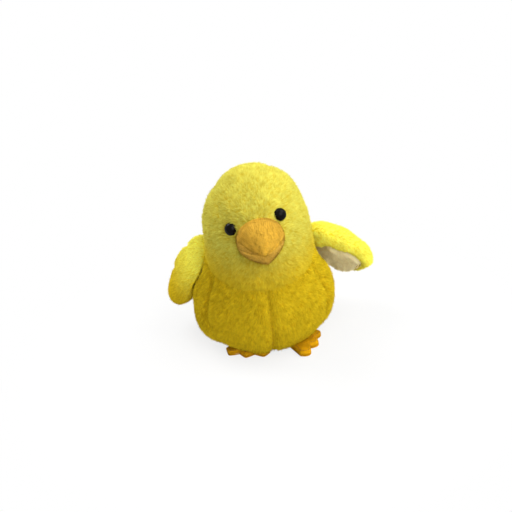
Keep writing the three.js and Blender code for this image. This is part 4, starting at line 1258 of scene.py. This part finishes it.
class CANARY_OT_head(bpy.types.Operator):
    """Sews the crown strip and the two head panels, with their pile and stuffing"""
    bl_idname = "canary.head"
    bl_label = "Head"

    def execute(self, context):
        """Grid round the head, swollen, drawn in at seams, neck and eyes, and cut into panels with pile."""
        cloth, colours = sizes().cloth, sizes().colour
        turn = full_turn(HEAD_COLUMNS)
        skin = self.skin(turn, cloth.pile_height)
        held = self.seam_distance(skin) < SEAM_HELD
        held[[0, -1]] = True
        skin = swollen(skin, held)
        pull = pulled(self.seam_distance(skin), 0.3 * cloth.seam_depth, cloth.seam_width)
        pull += pulled(over_seam(skin), *NECK_PULL)
        for spot, _ in eye_spots():
            pull += pulled(np.linalg.norm(skin - spot, axis=-1), *EYE_PULL)
        rise = lumps(skin, HEAD_LUMPS) + HEAD_UNEVEN * ripple(skin, UNEVEN_WAVE, 8)
        skin += (rise - pull)[..., None] * grid_normals(skin)
        parts = self.split(grid_mesh("head_whole", skin, True, False, True))
        backing = backing_look("head_backing", 0.4 * colours.head_root + 0.6 * colours.head_tip)
        # Head pile: paler than the body's partly as painted light, and turning to the body's colours at the
        # neck partly as painted shade
        pile = pile_look("head_pile", colours.head_root, colours.head_tip, colours.body_root, colours.body_tip)
        for seed, (name, mesh) in enumerate(parts.items()):
            panel = panel_of(mesh, "head", backing, name)
            pile_on(panel, f"{name}_pile", pile, 300 + 10 * seed, self.lie, self.reach,
                    keep=self.bare, near=self.neck_tint_and_shade)
        core = self.skin(turn[::2], FILL_INSET)
        core = lumpy(core[over_seam(core).min(1) > 0.003], 6)
        fibre = fibre_look("head_fibre", colours.fibre)
        closed_piece("head_stuffing_fill", core, "head", fibre, "head_stuffing")
        return {"FINISHED"}

    @staticmethod
    def skin(turn, inset):
        """Rows of the head's skin from the neck seam's plane up its sides, then over the dome by even angles.
        The rim's height follows from its depth, and that from its height, so it is found in a few rounds."""
        head = sizes().head
        rim = np.full(len(turn), head.seam_level)
        for _ in range(6):
            behind = -head.forward - head_section(rim, inset)[1] * np.cos(turn)
            rim = NECK[2] + (seam_height() + behind * math.sin(head.seam_lean)) / math.cos(head.seam_lean)
        sides = rim + (head.level - rim) * np.linspace(0, 1, NECK_ROWS)[:-1, None] ** 1.2
        over = np.sin(np.pi / 2 * np.linspace(0, 1 - POLE / 2, DOME_ROWS))[:, None]
        dome = head.level + (head.top - head.level - inset) * over
        height = np.concatenate([sides, np.broadcast_to(dome, (DOME_ROWS, len(turn)))])
        return head_point(turn, height, inset)

    @staticmethod
    def seam_distance(points):
        """Distance to the nearest seam: the outline of the crown strip, or the chin's seam under it."""
        head = sizes().head
        across, behind, up = np.moveaxis(face_local(points), -1, 0)
        past = np.abs(across) - head.gusset_width / 2
        under = np.where(behind < 0, head.gusset_start - up, -1.0)
        outside = np.hypot(np.maximum(past, 0), np.maximum(under, 0))
        strip = np.abs(outside + np.minimum(np.maximum(past, under), 0))
        chin = np.where((points[..., 1] < 0) & (under > 0), np.abs(points[..., 0]), 1.0)
        return np.minimum(strip, chin)

    @staticmethod
    def split(whole):
        """Cuts the head's skin along its seams, and sorts its faces into the crown strip and the two sides."""
        head = sizes().head
        turned = face_turn()
        middle = Vector((0, -head.forward, head.level))
        half = head.gusset_width / 2
        right, up = turned @ Vector((1, 0, 0)), turned @ Vector((0, 0, 1))
        cuts = ((middle + half * right, right), (middle - half * right, right),
                (middle + head.gusset_start * up, up), (Vector((0, 0, 0)), Vector((1, 0, 0))))
        parts = {}
        for name in ("crown_gusset", "head_panel_left", "head_panel_right"):
            cut = bmesh.new()
            cut.from_mesh(whole)
            for spot, way in cuts:
                geometry = cut.verts[:] + cut.edges[:] + cut.faces[:]
                bmesh.ops.bisect_plane(cut, geom=geometry, dist=1e-6, plane_co=spot, plane_no=way)
            faces = cut.faces[:]
            centres = np.array([face.calc_center_median() for face in faces])
            across, behind, high = np.moveaxis(face_local(centres), -1, 0)
            strip = (np.abs(across) < half) & ((behind > 0) | (high > head.gusset_start))
            left = ~strip & (centres[:, 0] > 0)
            mine = {"crown_gusset": strip, "head_panel_left": left}.get(name, ~strip & ~left)
            bmesh.ops.delete(cut, geom=[face for face, own in zip(faces, mine) if not own], context="FACES")
            mesh = bpy.data.meshes.new(f"{name}_cloth")
            cut.to_mesh(mesh)
            cut.free()
            parts[name] = mesh
        bpy.data.meshes.remove(whole)
        return parts

    @staticmethod
    def lie(spots):
        """Away from the beak all over the head, and down its back. Round a bead the lie turns in over its rim:
        way + 1.2 x exp(-((distance - rim) / 1.3 mm)^2) x inwards."""
        eye = sizes().eye
        way = unit(spots - face_spot(0, sizes().beak.rise)[0])
        way[:, 2] -= 1.2 * smooth((spots[:, 1] + sizes().head.forward) / 0.02) + 0.25
        for spot, _ in eye_spots():
            off = spot - spots
            far = np.linalg.norm(off, axis=1, keepdims=True)
            way = way + pulled(far - eye.width / 2 - 0.0008, 1.2, 0.0013) * off / far
        return way

    @staticmethod
    def neck_tint_and_shade(spots):
        """How far the head's pale colour turns to the body's deeper one, partly the cloth's own tint and partly
        painted shade low on the head: 0.9 at the neck seam, and nothing 28 mm over it.
        """
        return 0.9 * smooth(1 - over_seam(spots) / 0.028)

    @staticmethod
    def reach(spots):
        """Share of the pile's length: 0.65 at the neck seam, and all of it from 4 mm over it."""
        return 1 - 0.35 * smooth(1 - over_seam(spots) / 0.004)

    @staticmethod
    def bare(spots):
        """Which roots stay: not behind a bead, and not behind the beak."""
        eye, beak = sizes().eye, sizes().beak
        stay = np.ones(len(spots), bool)
        for spot, out in eye_spots():
            off = spots - spot
            deep = off @ out
            off -= deep[:, None] * out
            stay &= (deep < -eye.width) | (np.linalg.norm(off, axis=1) > 0.43 * eye.width)
        across, behind, up = face_local(spots).T
        tall = np.where(up > beak.rise, beak.above, beak.below)
        stay &= (behind > 0) | (np.hypot(across / (beak.width / 2), (up - beak.rise) / tall) > 0.86)
        return stay


class CANARY_OT_eyes(bpy.types.Operator):
    """Turns the two bead eyes on their shanks"""
    bl_idname = "canary.eyes"
    bl_label = "Eyes"

    def execute(self, context):
        """A bead at each eye's spot, and the look of the washer behind it."""
        colours = sizes().colour
        bead = bead_look("polished_bead", colours.bead)
        plastic = plastic_look("washer_grain", colours.washer)
        for hand, (spot, out) in zip(("left", "right"), eye_spots()):
            closed_piece(f"eye_{hand}_bead", self.lathe(spot, out), "head", bead, f"eye_{hand}")
            dress(f"eye_washer_{hand}", plastic)
        return {"FINISHED"}

    @staticmethod
    def lathe(spot, out):
        """Profile of the shank, the flat back, the rounded rim and the dome, turned about the way out."""
        eye = sizes().eye
        half, shank, rim, chamfer = eye.width / 2, eye.shank_width / 2, 0.0005, 0.0003
        bend = np.linspace(-np.pi / 2, 0, 6)
        dome = np.linspace(0, np.pi / 2 - POLE, 18)
        radius = np.concatenate([[shank * 0.8, shank, shank, half - rim],
                                 half - rim + rim * np.cos(bend), half * np.cos(dome)])
        back = -eye.sink
        end = back - eye.shank_length
        along = np.concatenate([[end, end + chamfer, back, back],
                                back + rim + rim * np.sin(bend), back + rim + (eye.dome - rim) * np.sin(dome)])
        right = unit(np.cross([0, 0, 1.0], out))
        ring = circle(right, np.cross(out, right), BEAD_COLUMNS)
        return spot + along[:, None, None] * out + radius[:, None, None] * ring


class CANARY_OT_beak(bpy.types.Operator):
    """Sews the two halves of the beak, with their brushed nap and stuffing"""
    bl_idname = "canary.beak"
    bl_label = "Beak"

    def execute(self, context):
        """Two halves at the face's middle, each with its nap, and the stuffing in them."""
        beak, colours = sizes().beak, sizes().colour
        spot, _ = face_spot(0, beak.rise)
        place = Matrix.Translation(Vector(spot)) @ face_turn() @ Matrix.Rotation(beak.droop, 4, "X")
        for name, low, tint, slot, seed in (("beak_upper", False, colours.beak, "beak_velour", 500),
                                            ("beak_lower", True, colours.beak_under, "beak_under_velour", 520)):
            points, around = self.half(eased(BEAK_COLUMNS), low, place, 0.0005)
            mesh = grid_mesh(f"{name}_cloth", points)
            keep_values(mesh, around=around + self.waver(points, seed))
            panel = panel_of(mesh, "head", velour_look(f"{name}_velour", tint), name)
            self.nap(panel, f"{name}_nap", place, tint, slot, seed)
        core, _ = self.half(np.linspace(0, 1, 49)[:-1], None, place, 0.003)
        fibre = fibre_look("beak_fibre", colours.fibre)
        closed_piece("beak_stuffing_fill", core, "head", fibre, "beak_stuffing")
        return {"FINISHED"}

    @staticmethod
    def half(share, low, place, inset):
        """Rows from the root to the tip of the beak: parts of ovals whose width and height are what an oval of
        the power point, or of the power dome, keeps at how far along they are, short by the overbite under the
        middle, where they narrow to a keel. The mouth's corners lie above or below the middle at the root and
        come to it at the tip. The upper half is drawn in along the mouth and runs on inside of the lower one.
        Also the turn of each point, times the rows of nap."""
        beak = sizes().beak
        theta = np.linspace(0, np.pi / 2 - POLE, BEAK_ROWS)
        level = np.concatenate([[0.0], np.sin(theta)])[:, None]
        fade = (1 - level) ** 0.8
        left, right = beak.left_corner * fade, np.pi - beak.right_corner * fade
        first, last = {False: (left - MOUTH_TUCK, right + MOUTH_TUCK), True: (right, left + 2 * np.pi),
                       None: (0 * level, 0 * level + 2 * np.pi)}[low]
        turn = first + (last - first) * share
        off = np.minimum(turn - first, last - turn)
        drawn = {False: 0.20 * smooth(1 - off / (2 * MOUTH_TUCK)), True: pulled(off, 0.06, 0.12),
                 None: 0 * off}[low]
        pinch = 1 - drawn * smooth(level / 0.25)
        under = np.sin(turn) < 0
        wide = oval_share(level, 1.0, np.where(under, beak.point + 0.25, beak.point))
        size = oval_share(level, 1.0, beak.dome)
        start = np.concatenate([[beak.root], np.zeros(BEAK_ROWS)])[:, None]
        tall = np.where(under, beak.below, beak.above) - inset
        reach = beak.length - inset - beak.overbite * np.maximum(0, -np.sin(turn))
        narrow = np.where(under, np.abs(np.cos(turn)) ** beak.keel, 1.0)
        across = (beak.width / 2 - inset) * wide * pinch * np.cos(turn) * narrow
        high = pinch * tall * size * np.sin(turn)
        local = np.stack(np.broadcast_arrays(across, start - reach * level, high), -1)
        return placed(local, place), beak.nap_rows * turn

    @staticmethod
    def waver(points, seed):
        """How far the rows of nap waver: a ripple over the points."""
        return NAP_WAVER * ripple(points, NAP_WAVE, seed)

    @classmethod
    def nap(cls, panel, name, place, tint, slot, seed):
        """Brushed nap that lies towards the tip, in rows round the beak."""
        beak = sizes().beak
        tip = np.array(place @ Vector((0, -beak.length, 0)))
        back = np.array(place.to_3x3().inverted())
        middle = np.array(place.translation)

        def lie(spots):
            """Three times the way to the tip, so that the drift turns it less."""
            return 3 * unit(tip - spots)

        def rows(spots):
            """Rows from -1 to 1: sin(rows x turn about the beak + waver)."""
            x, _, z = back @ (spots - middle).T
            turn = np.arctan2(z / beak.above, x / (beak.width / 2))
            return np.sin(beak.nap_rows * turn + cls.waver(spots, seed))

        def reach(spots):
            """Share of the nap's length: 0.9 + 0.15 x rows."""
            return 0.9 + 0.15 * rows(spots)

        def shade(spots):
            """Dark lines: on the crests of the rows, in patches of a ripple."""
            patches = smooth((ripple(spots, 0.0045, seed + 7) + 0.25) / 0.5)
            return -4.5 * smooth((rows(spots) - 0.1) / 0.5) * patches

        size = (beak.nap_radius, beak.nap, 10.0, math.radians(74))
        # Strands darker at the roots, as painted shade deep in the nap, and paler at the tips
        deep, pale = (tuple(min(1, share * part) for part in tint) for share in (0.9, 1.12))
        strands = pile_look(f"{name}_strands", deep, pale, vary=(0.50, 1.26))
        pile_on(panel, name, strands, seed, lie, reach, size, gather=0.4, rough=0.25, shade=shade)


class CANARY_OT_wings(bpy.types.Operator):
    """Sews the two wings, with their pile and stuffing"""
    bl_idname = "canary.wings"
    bl_label = "Wings"

    def execute(self, context):
        """A leaf at each wing's joint, pitched, then drooped, then swept."""
        wing = sizes().wing
        looks = leaf_looks("wing")
        # The lowered right wing's pile turns to the body's colours towards its end as painted shade; the raised
        # wing's does not
        for hand, side, trail, stretch, shade, seed in (("left", 1, wing.trail, wing.left_stretch, 0.0, 600),
                                                        ("right", -1, wing.lower_trail, 1.0, 1.0, 700)):
            sweep, droop, pitch, lobe_depth, bend = (getattr(wing, f"{hand}_{part}") for part in (
                "sweep", "droop", "pitch", "lobes", "bend"))
            turned = (Matrix.Rotation(side * sweep, 4, "Z") @ Matrix.Rotation(side * droop, 4, "Y")
                      @ Matrix.Rotation(-pitch, 4, "X"))
            place = Matrix.Translation(Vector(JOINTS[f"wing_{hand}_flap"]["pos_m"])) @ turned
            cut = LeafCut(3, lobe_depth, wing.lead, trail, bend, stretch, shade)
            make_leaf(f"wing_{hand}", wing, cut, place, side, looks, seed)
        return {"FINISHED"}


class CANARY_OT_tail(bpy.types.Operator):
    """Sews the tail, with its pile and stuffing"""
    bl_idname = "canary.tail"
    bl_label = "Tail"

    def execute(self, context):
        """A leaf at the tail's joint, lifted, then turned to the back."""
        tail = sizes().tail
        turned = Matrix.Rotation(np.pi / 2, 4, "Z") @ Matrix.Rotation(-tail.lift, 4, "Y")
        place = Matrix.Translation(Vector(JOINTS["tail_lift"]["pos_m"])) @ turned
        cut = LeafCut(2, tail.lobe_depth, tail.half, tail.half, tail.bend, 1.0, 0.0)
        make_leaf("tail", tail, cut, place, 1, leaf_looks("tail"), 900)
        return {"FINISHED"}


class CANARY_OT_feet(bpy.types.Operator):
    """Cuts and stitches the two felt feet"""
    bl_idname = "canary.feet"
    bl_label = "Feet"

    def execute(self, context):
        """Sole, padding, upper felt and stitches of each foot, over one outline."""
        foot, colours = sizes().foot, sizes().colour
        felt = felt_look("foot_felt_fibres", colours.felt)
        thread = thread_look("foot_thread", colours.thread)
        fibre = fibre_look("foot_fibre", colours.fibre)
        floor = foot.felt + foot.gap

        def top(share):
            """Height of the upper felt's top: two felts with their room, and the padding's swell."""
            return 2 * floor + foot.crown * swell_share(share)

        def level(high):
            """Height that is the same all over."""
            return lambda share: np.full_like(share, high)

        for hand, side in (("left", 1), ("right", -1)):
            splay, tuck, point = (getattr(foot, f"{hand}_{part}") for part in ("splay", "tuck", "point"))
            spot = body_point(side * foot.turn, np.array(0.0), 0)
            place = Matrix.Translation(Vector(spot)) @ Matrix.Rotation(side * splay, 4, "Z")
            edge = self.outline(tuck, point, place)
            middle = np.array(place @ Vector((0, tuck - foot.length * 0.62, 0)))[:2]
            body = f"foot_{hand}"
            upper = self.pad(edge, middle, level(floor), top, 1.0)
            sole = self.pad(edge, middle, level(FLOOR_CLEAR), level(foot.felt), 1.0)
            core = self.pad(edge, middle, level(floor + 0.0004), lambda share: top(share) - floor, 0.7)
            closed_piece(f"{body}_upper_felt", upper, body, felt, f"{body}_upper")
            closed_piece(f"{body}_sole_felt", sole, body, felt, f"{body}_sole")
            closed_piece(f"{body}_padding_fill", core, body, fibre, f"{body}_padding")
            self.stitches(f"{body}_stitching", body, edge, middle, top, thread)
        return {"FINISHED"}

    @staticmethod
    def outline(tuck, point, place):
        """Outline of three toes and a straight heel, held outside of the base's edge. A toe is length - notch x
        wave, where wave runs from arccos(0.96 cos(2 pi turn / spread)) / pi for points to
        1 - |cos(pi turn / spread)| for lobes."""
        foot = sizes().foot
        reach = 1.5 * foot.spread
        turn = np.linspace(-reach, reach, 4 * FOOT_COLUMNS)
        points = np.arccos(0.96 * np.cos(2 * np.pi * turn / foot.spread)) / np.pi
        lobes = 1 - np.abs(np.cos(np.pi * turn / foot.spread))
        toe = foot.length - foot.notch * (point * points + (1 - point) * lobes)
        heel = (foot.root / 2) * (turn / reach)
        toes = np.stack([heel + toe * np.sin(turn), tuck - toe * np.cos(turn)], -1)
        back = np.stack([np.linspace(foot.root / 2, -foot.root / 2, 12), np.full(12, tuck)], -1)
        ring, walked = closed_path(np.concatenate([toes, back]))
        flat = on_path(ring, walked, walked[-1] * np.arange(FOOT_COLUMNS) / FOOT_COLUMNS)
        world = placed(np.pad(flat, ((0, 0), (0, 1))), place)[:, :2]
        share = share_of_body(world)
        return world * np.where(share < BASE_SHARE, BASE_SHARE / share, 1)[:, None]

    @staticmethod
    def room_under_body(flat):
        """Height of the body's skin over spots on the floor."""
        body = sizes().body
        return body.belly_level - belly_drop() * oval_share(share_of_body(flat), 1.0, body.fullness)

    @classmethod
    def pad(cls, edge, middle, low, high, reach):
        """Closed pad over spokes from a middle to an outline, with rounded cut edges."""
        share = np.concatenate([[POLE], np.linspace(0.2, 0.94, 10), [0.975, 0.993, 1.0]])
        shares = np.concatenate([share, share[::-1]])[:, None] * np.ones(len(edge))
        flat = middle + reach * shares[..., None] * (edge - middle)
        rows = len(share)
        room = np.maximum(cls.room_under_body(flat[:rows]) - FOOT_ROOM, 0.0009)
        top = np.minimum(high(shares[:rows]), room)
        bottom = np.maximum(np.minimum(low(shares[rows:]), top[::-1] - 0.0004), FLOOR_CLEAR)
        round_off = np.where(share > 0.9, 0.00035 * ((share - 0.9) / 0.1) ** 2, 0)[:, None]
        tall = np.concatenate([top - round_off, bottom + 0.5 * round_off[::-1]])
        return np.concatenate([flat, tall[..., None]], -1)[:, ::-1]

    @classmethod
    def stitches(cls, name, body, edge, middle, top, look):
        """Dashes of thread along the outline, set in from it: small ovals laid along the way of the seam."""
        foot = sizes().foot
        away = edge - middle
        share = 1 - foot.stitch_inset / np.linalg.norm(away, axis=1)
        ring, walked = closed_path(middle + away * share[:, None])
        spots = np.arange(0, walked[-1] - foot.stitch_step / 2, foot.stitch_step)
        flat = on_path(ring, walked, spots)
        ahead = unit(on_path(ring, walked, (spots + 0.0004) % walked[-1]) - flat)
        high = top(np.interp(spots, walked, np.append(share, share[:1])))
        shown = cls.room_under_body(flat) > high + 0.001
        flat, ahead, high = flat[shown], ahead[shown], high[shown]
        rows, columns = 5, 6
        around, along = np.meshgrid(full_turn(columns), np.linspace(-0.95, 0.95, rows))
        wide = np.sqrt(1 - along ** 2)
        dash = np.stack([along, wide * np.cos(around), wide * np.sin(around)], -1) * np.array(STITCH_HALF)
        dash = dash.reshape(-1, 3)
        forward = np.pad(ahead, ((0, 0), (0, 1)))
        side = np.stack([-ahead[:, 1], ahead[:, 0], np.zeros(len(ahead))], -1)
        centre = np.concatenate([flat, high[:, None] - STITCH_SINK], 1)
        points = centre[:, None] + dash[:, :1] * forward[:, None] + dash[:, 1:2] * side[:, None]
        points += dash[:, 2:] * np.array([0, 0, 1.0])
        shift = len(dash) * np.arange(len(centre))[:, None, None]
        last_row = columns * (rows - 1)
        caps = np.array([np.arange(columns)[::-1], last_row + np.arange(columns)])
        groups = [(grid_faces(rows, columns, True) + shift).reshape(-1, 4), (caps + shift).reshape(-1, columns)]
        piece_of(mesh_of(name, points.reshape(-1, 3), groups), body, look)


class CANARY_OT_stage(bpy.types.Operator):
    """Lays the floor and sets the camera, the lamps and the sky"""
    bl_idname = "canary.stage"
    bl_label = "Stage"

    def execute(self, context):
        """Floor, camera, lamps and sky, with colours shown as they are."""
        stage, scene = sizes().stage, context.scene
        spread = np.linspace(-stage.floor_half, stage.floor_half, 9)
        x, y = np.meshgrid(spread, spread)
        floor = bpy.data.objects.new("floor", grid_mesh("floor", np.stack([x, y, 0 * x], -1)))
        floor.data.materials.append(floor_look("pale_floor", sizes().colour.floor))
        scene.collection.objects.link(floor)
        self.camera(scene, stage)
        for (name, spot, size), power in zip(LAMPS, (stage.key, stage.fill, stage.rim)):
            self.lamp(scene, name, spot, size, power, stage.middle)
        self.sky(scene, stage.sky)
        scene.view_settings.view_transform = "Standard"
        return {"FINISHED"}

    @staticmethod
    def camera(scene, stage):
        """Camera at its distance from the middle, looking down at it, and rolled."""
        level = math.cos(stage.rise)
        away = Vector((math.sin(stage.turn) * level, -math.cos(stage.turn) * level, math.sin(stage.rise)))
        right = (-away).cross(Vector((0, 0, 1))).normalized()
        up = right.cross(-away)
        c, s = math.cos(stage.roll), math.sin(stage.roll)
        across, tall = c * right - s * up, s * right + c * up
        camera = bpy.data.objects.new("camera", bpy.data.cameras.new("camera"))
        camera.matrix_world = Matrix((across, tall, away)).transposed().to_4x4()
        camera.matrix_world.translation = Vector(stage.middle) + stage.distance * away
        camera.data.sensor_fit = "HORIZONTAL"
        camera.data.angle = stage.view
        camera.data.clip_start = 0.01
        scene.collection.objects.link(camera)
        scene.camera = camera

    @staticmethod
    def lamp(scene, name, spot, size, power, middle):
        """Square soft lamp that faces the middle of the toy."""
        lamp = bpy.data.objects.new(name, bpy.data.lights.new(name, "AREA"))
        lamp.data.size = size
        lamp.data.energy = power
        lamp.location = spot
        lamp.rotation_euler = (Vector(middle) - Vector(spot)).to_track_quat("-Z", "Y").to_euler()
        scene.collection.objects.link(lamp)

    @staticmethod
    def sky(scene, strength):
        """Even light from all round, which shows white to the camera and in gloss."""
        world = bpy.data.worlds.new("studio")
        world.use_nodes = True
        tree = world.node_tree
        light = tree.nodes["Background"]
        light.inputs["Color"].default_value = (1, 1, 1, 1)
        tree.links.new(ranged(tree, seen_plainly(tree), strength, 1.0), light.inputs["Strength"])
        scene.world = world


class CANARY_PT_toy(bpy.types.Panel):
    """Lists what makes the toy"""
    bl_label = "Plush canary"
    bl_idname = "CANARY_PT_toy"
    bl_space_type = "VIEW_3D"
    bl_region_type = "UI"
    bl_category = "Canary"

    def draw(self, context):
        """One button for each operator."""
        for maker in MAKERS:
            self.layout.operator(maker.bl_idname, text=maker.bl_label)


MAKERS = (CANARY_OT_stage, CANARY_OT_body, CANARY_OT_head, CANARY_OT_eyes, CANARY_OT_beak, CANARY_OT_wings,
          CANARY_OT_tail, CANARY_OT_feet)
GROUPS = (ClothSettings, BodySettings, HeadSettings, EyeSettings, BeakSettings, WingSettings, TailSettings,
          FootSettings, ColourSettings, StageSettings, CanarySettings)


def register():
    """Registers the settings, the operators and the panel, and hangs the settings on the scene."""
    for kind in (*GROUPS, *MAKERS, CANARY_PT_toy):
        bpy.utils.register_class(kind)
    bpy.types.Scene.canary = PointerProperty(type=CanarySettings)


def unregister():
    """Takes the settings off the scene, and unregisters all in reverse."""
    del bpy.types.Scene.canary
    for kind in reversed((*GROUPS, *MAKERS, CANARY_PT_toy)):
        bpy.utils.unregister_class(kind)


def main():
    """Registers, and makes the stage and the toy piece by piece."""
    register()
    bpy.ops.canary.stage()
    bpy.ops.canary.body()
    bpy.ops.canary.head()
    bpy.ops.canary.eyes()
    bpy.ops.canary.beak()
    bpy.ops.canary.wings()
    bpy.ops.canary.tail()
    bpy.ops.canary.feet()


if __name__ == "__main__":
    main()
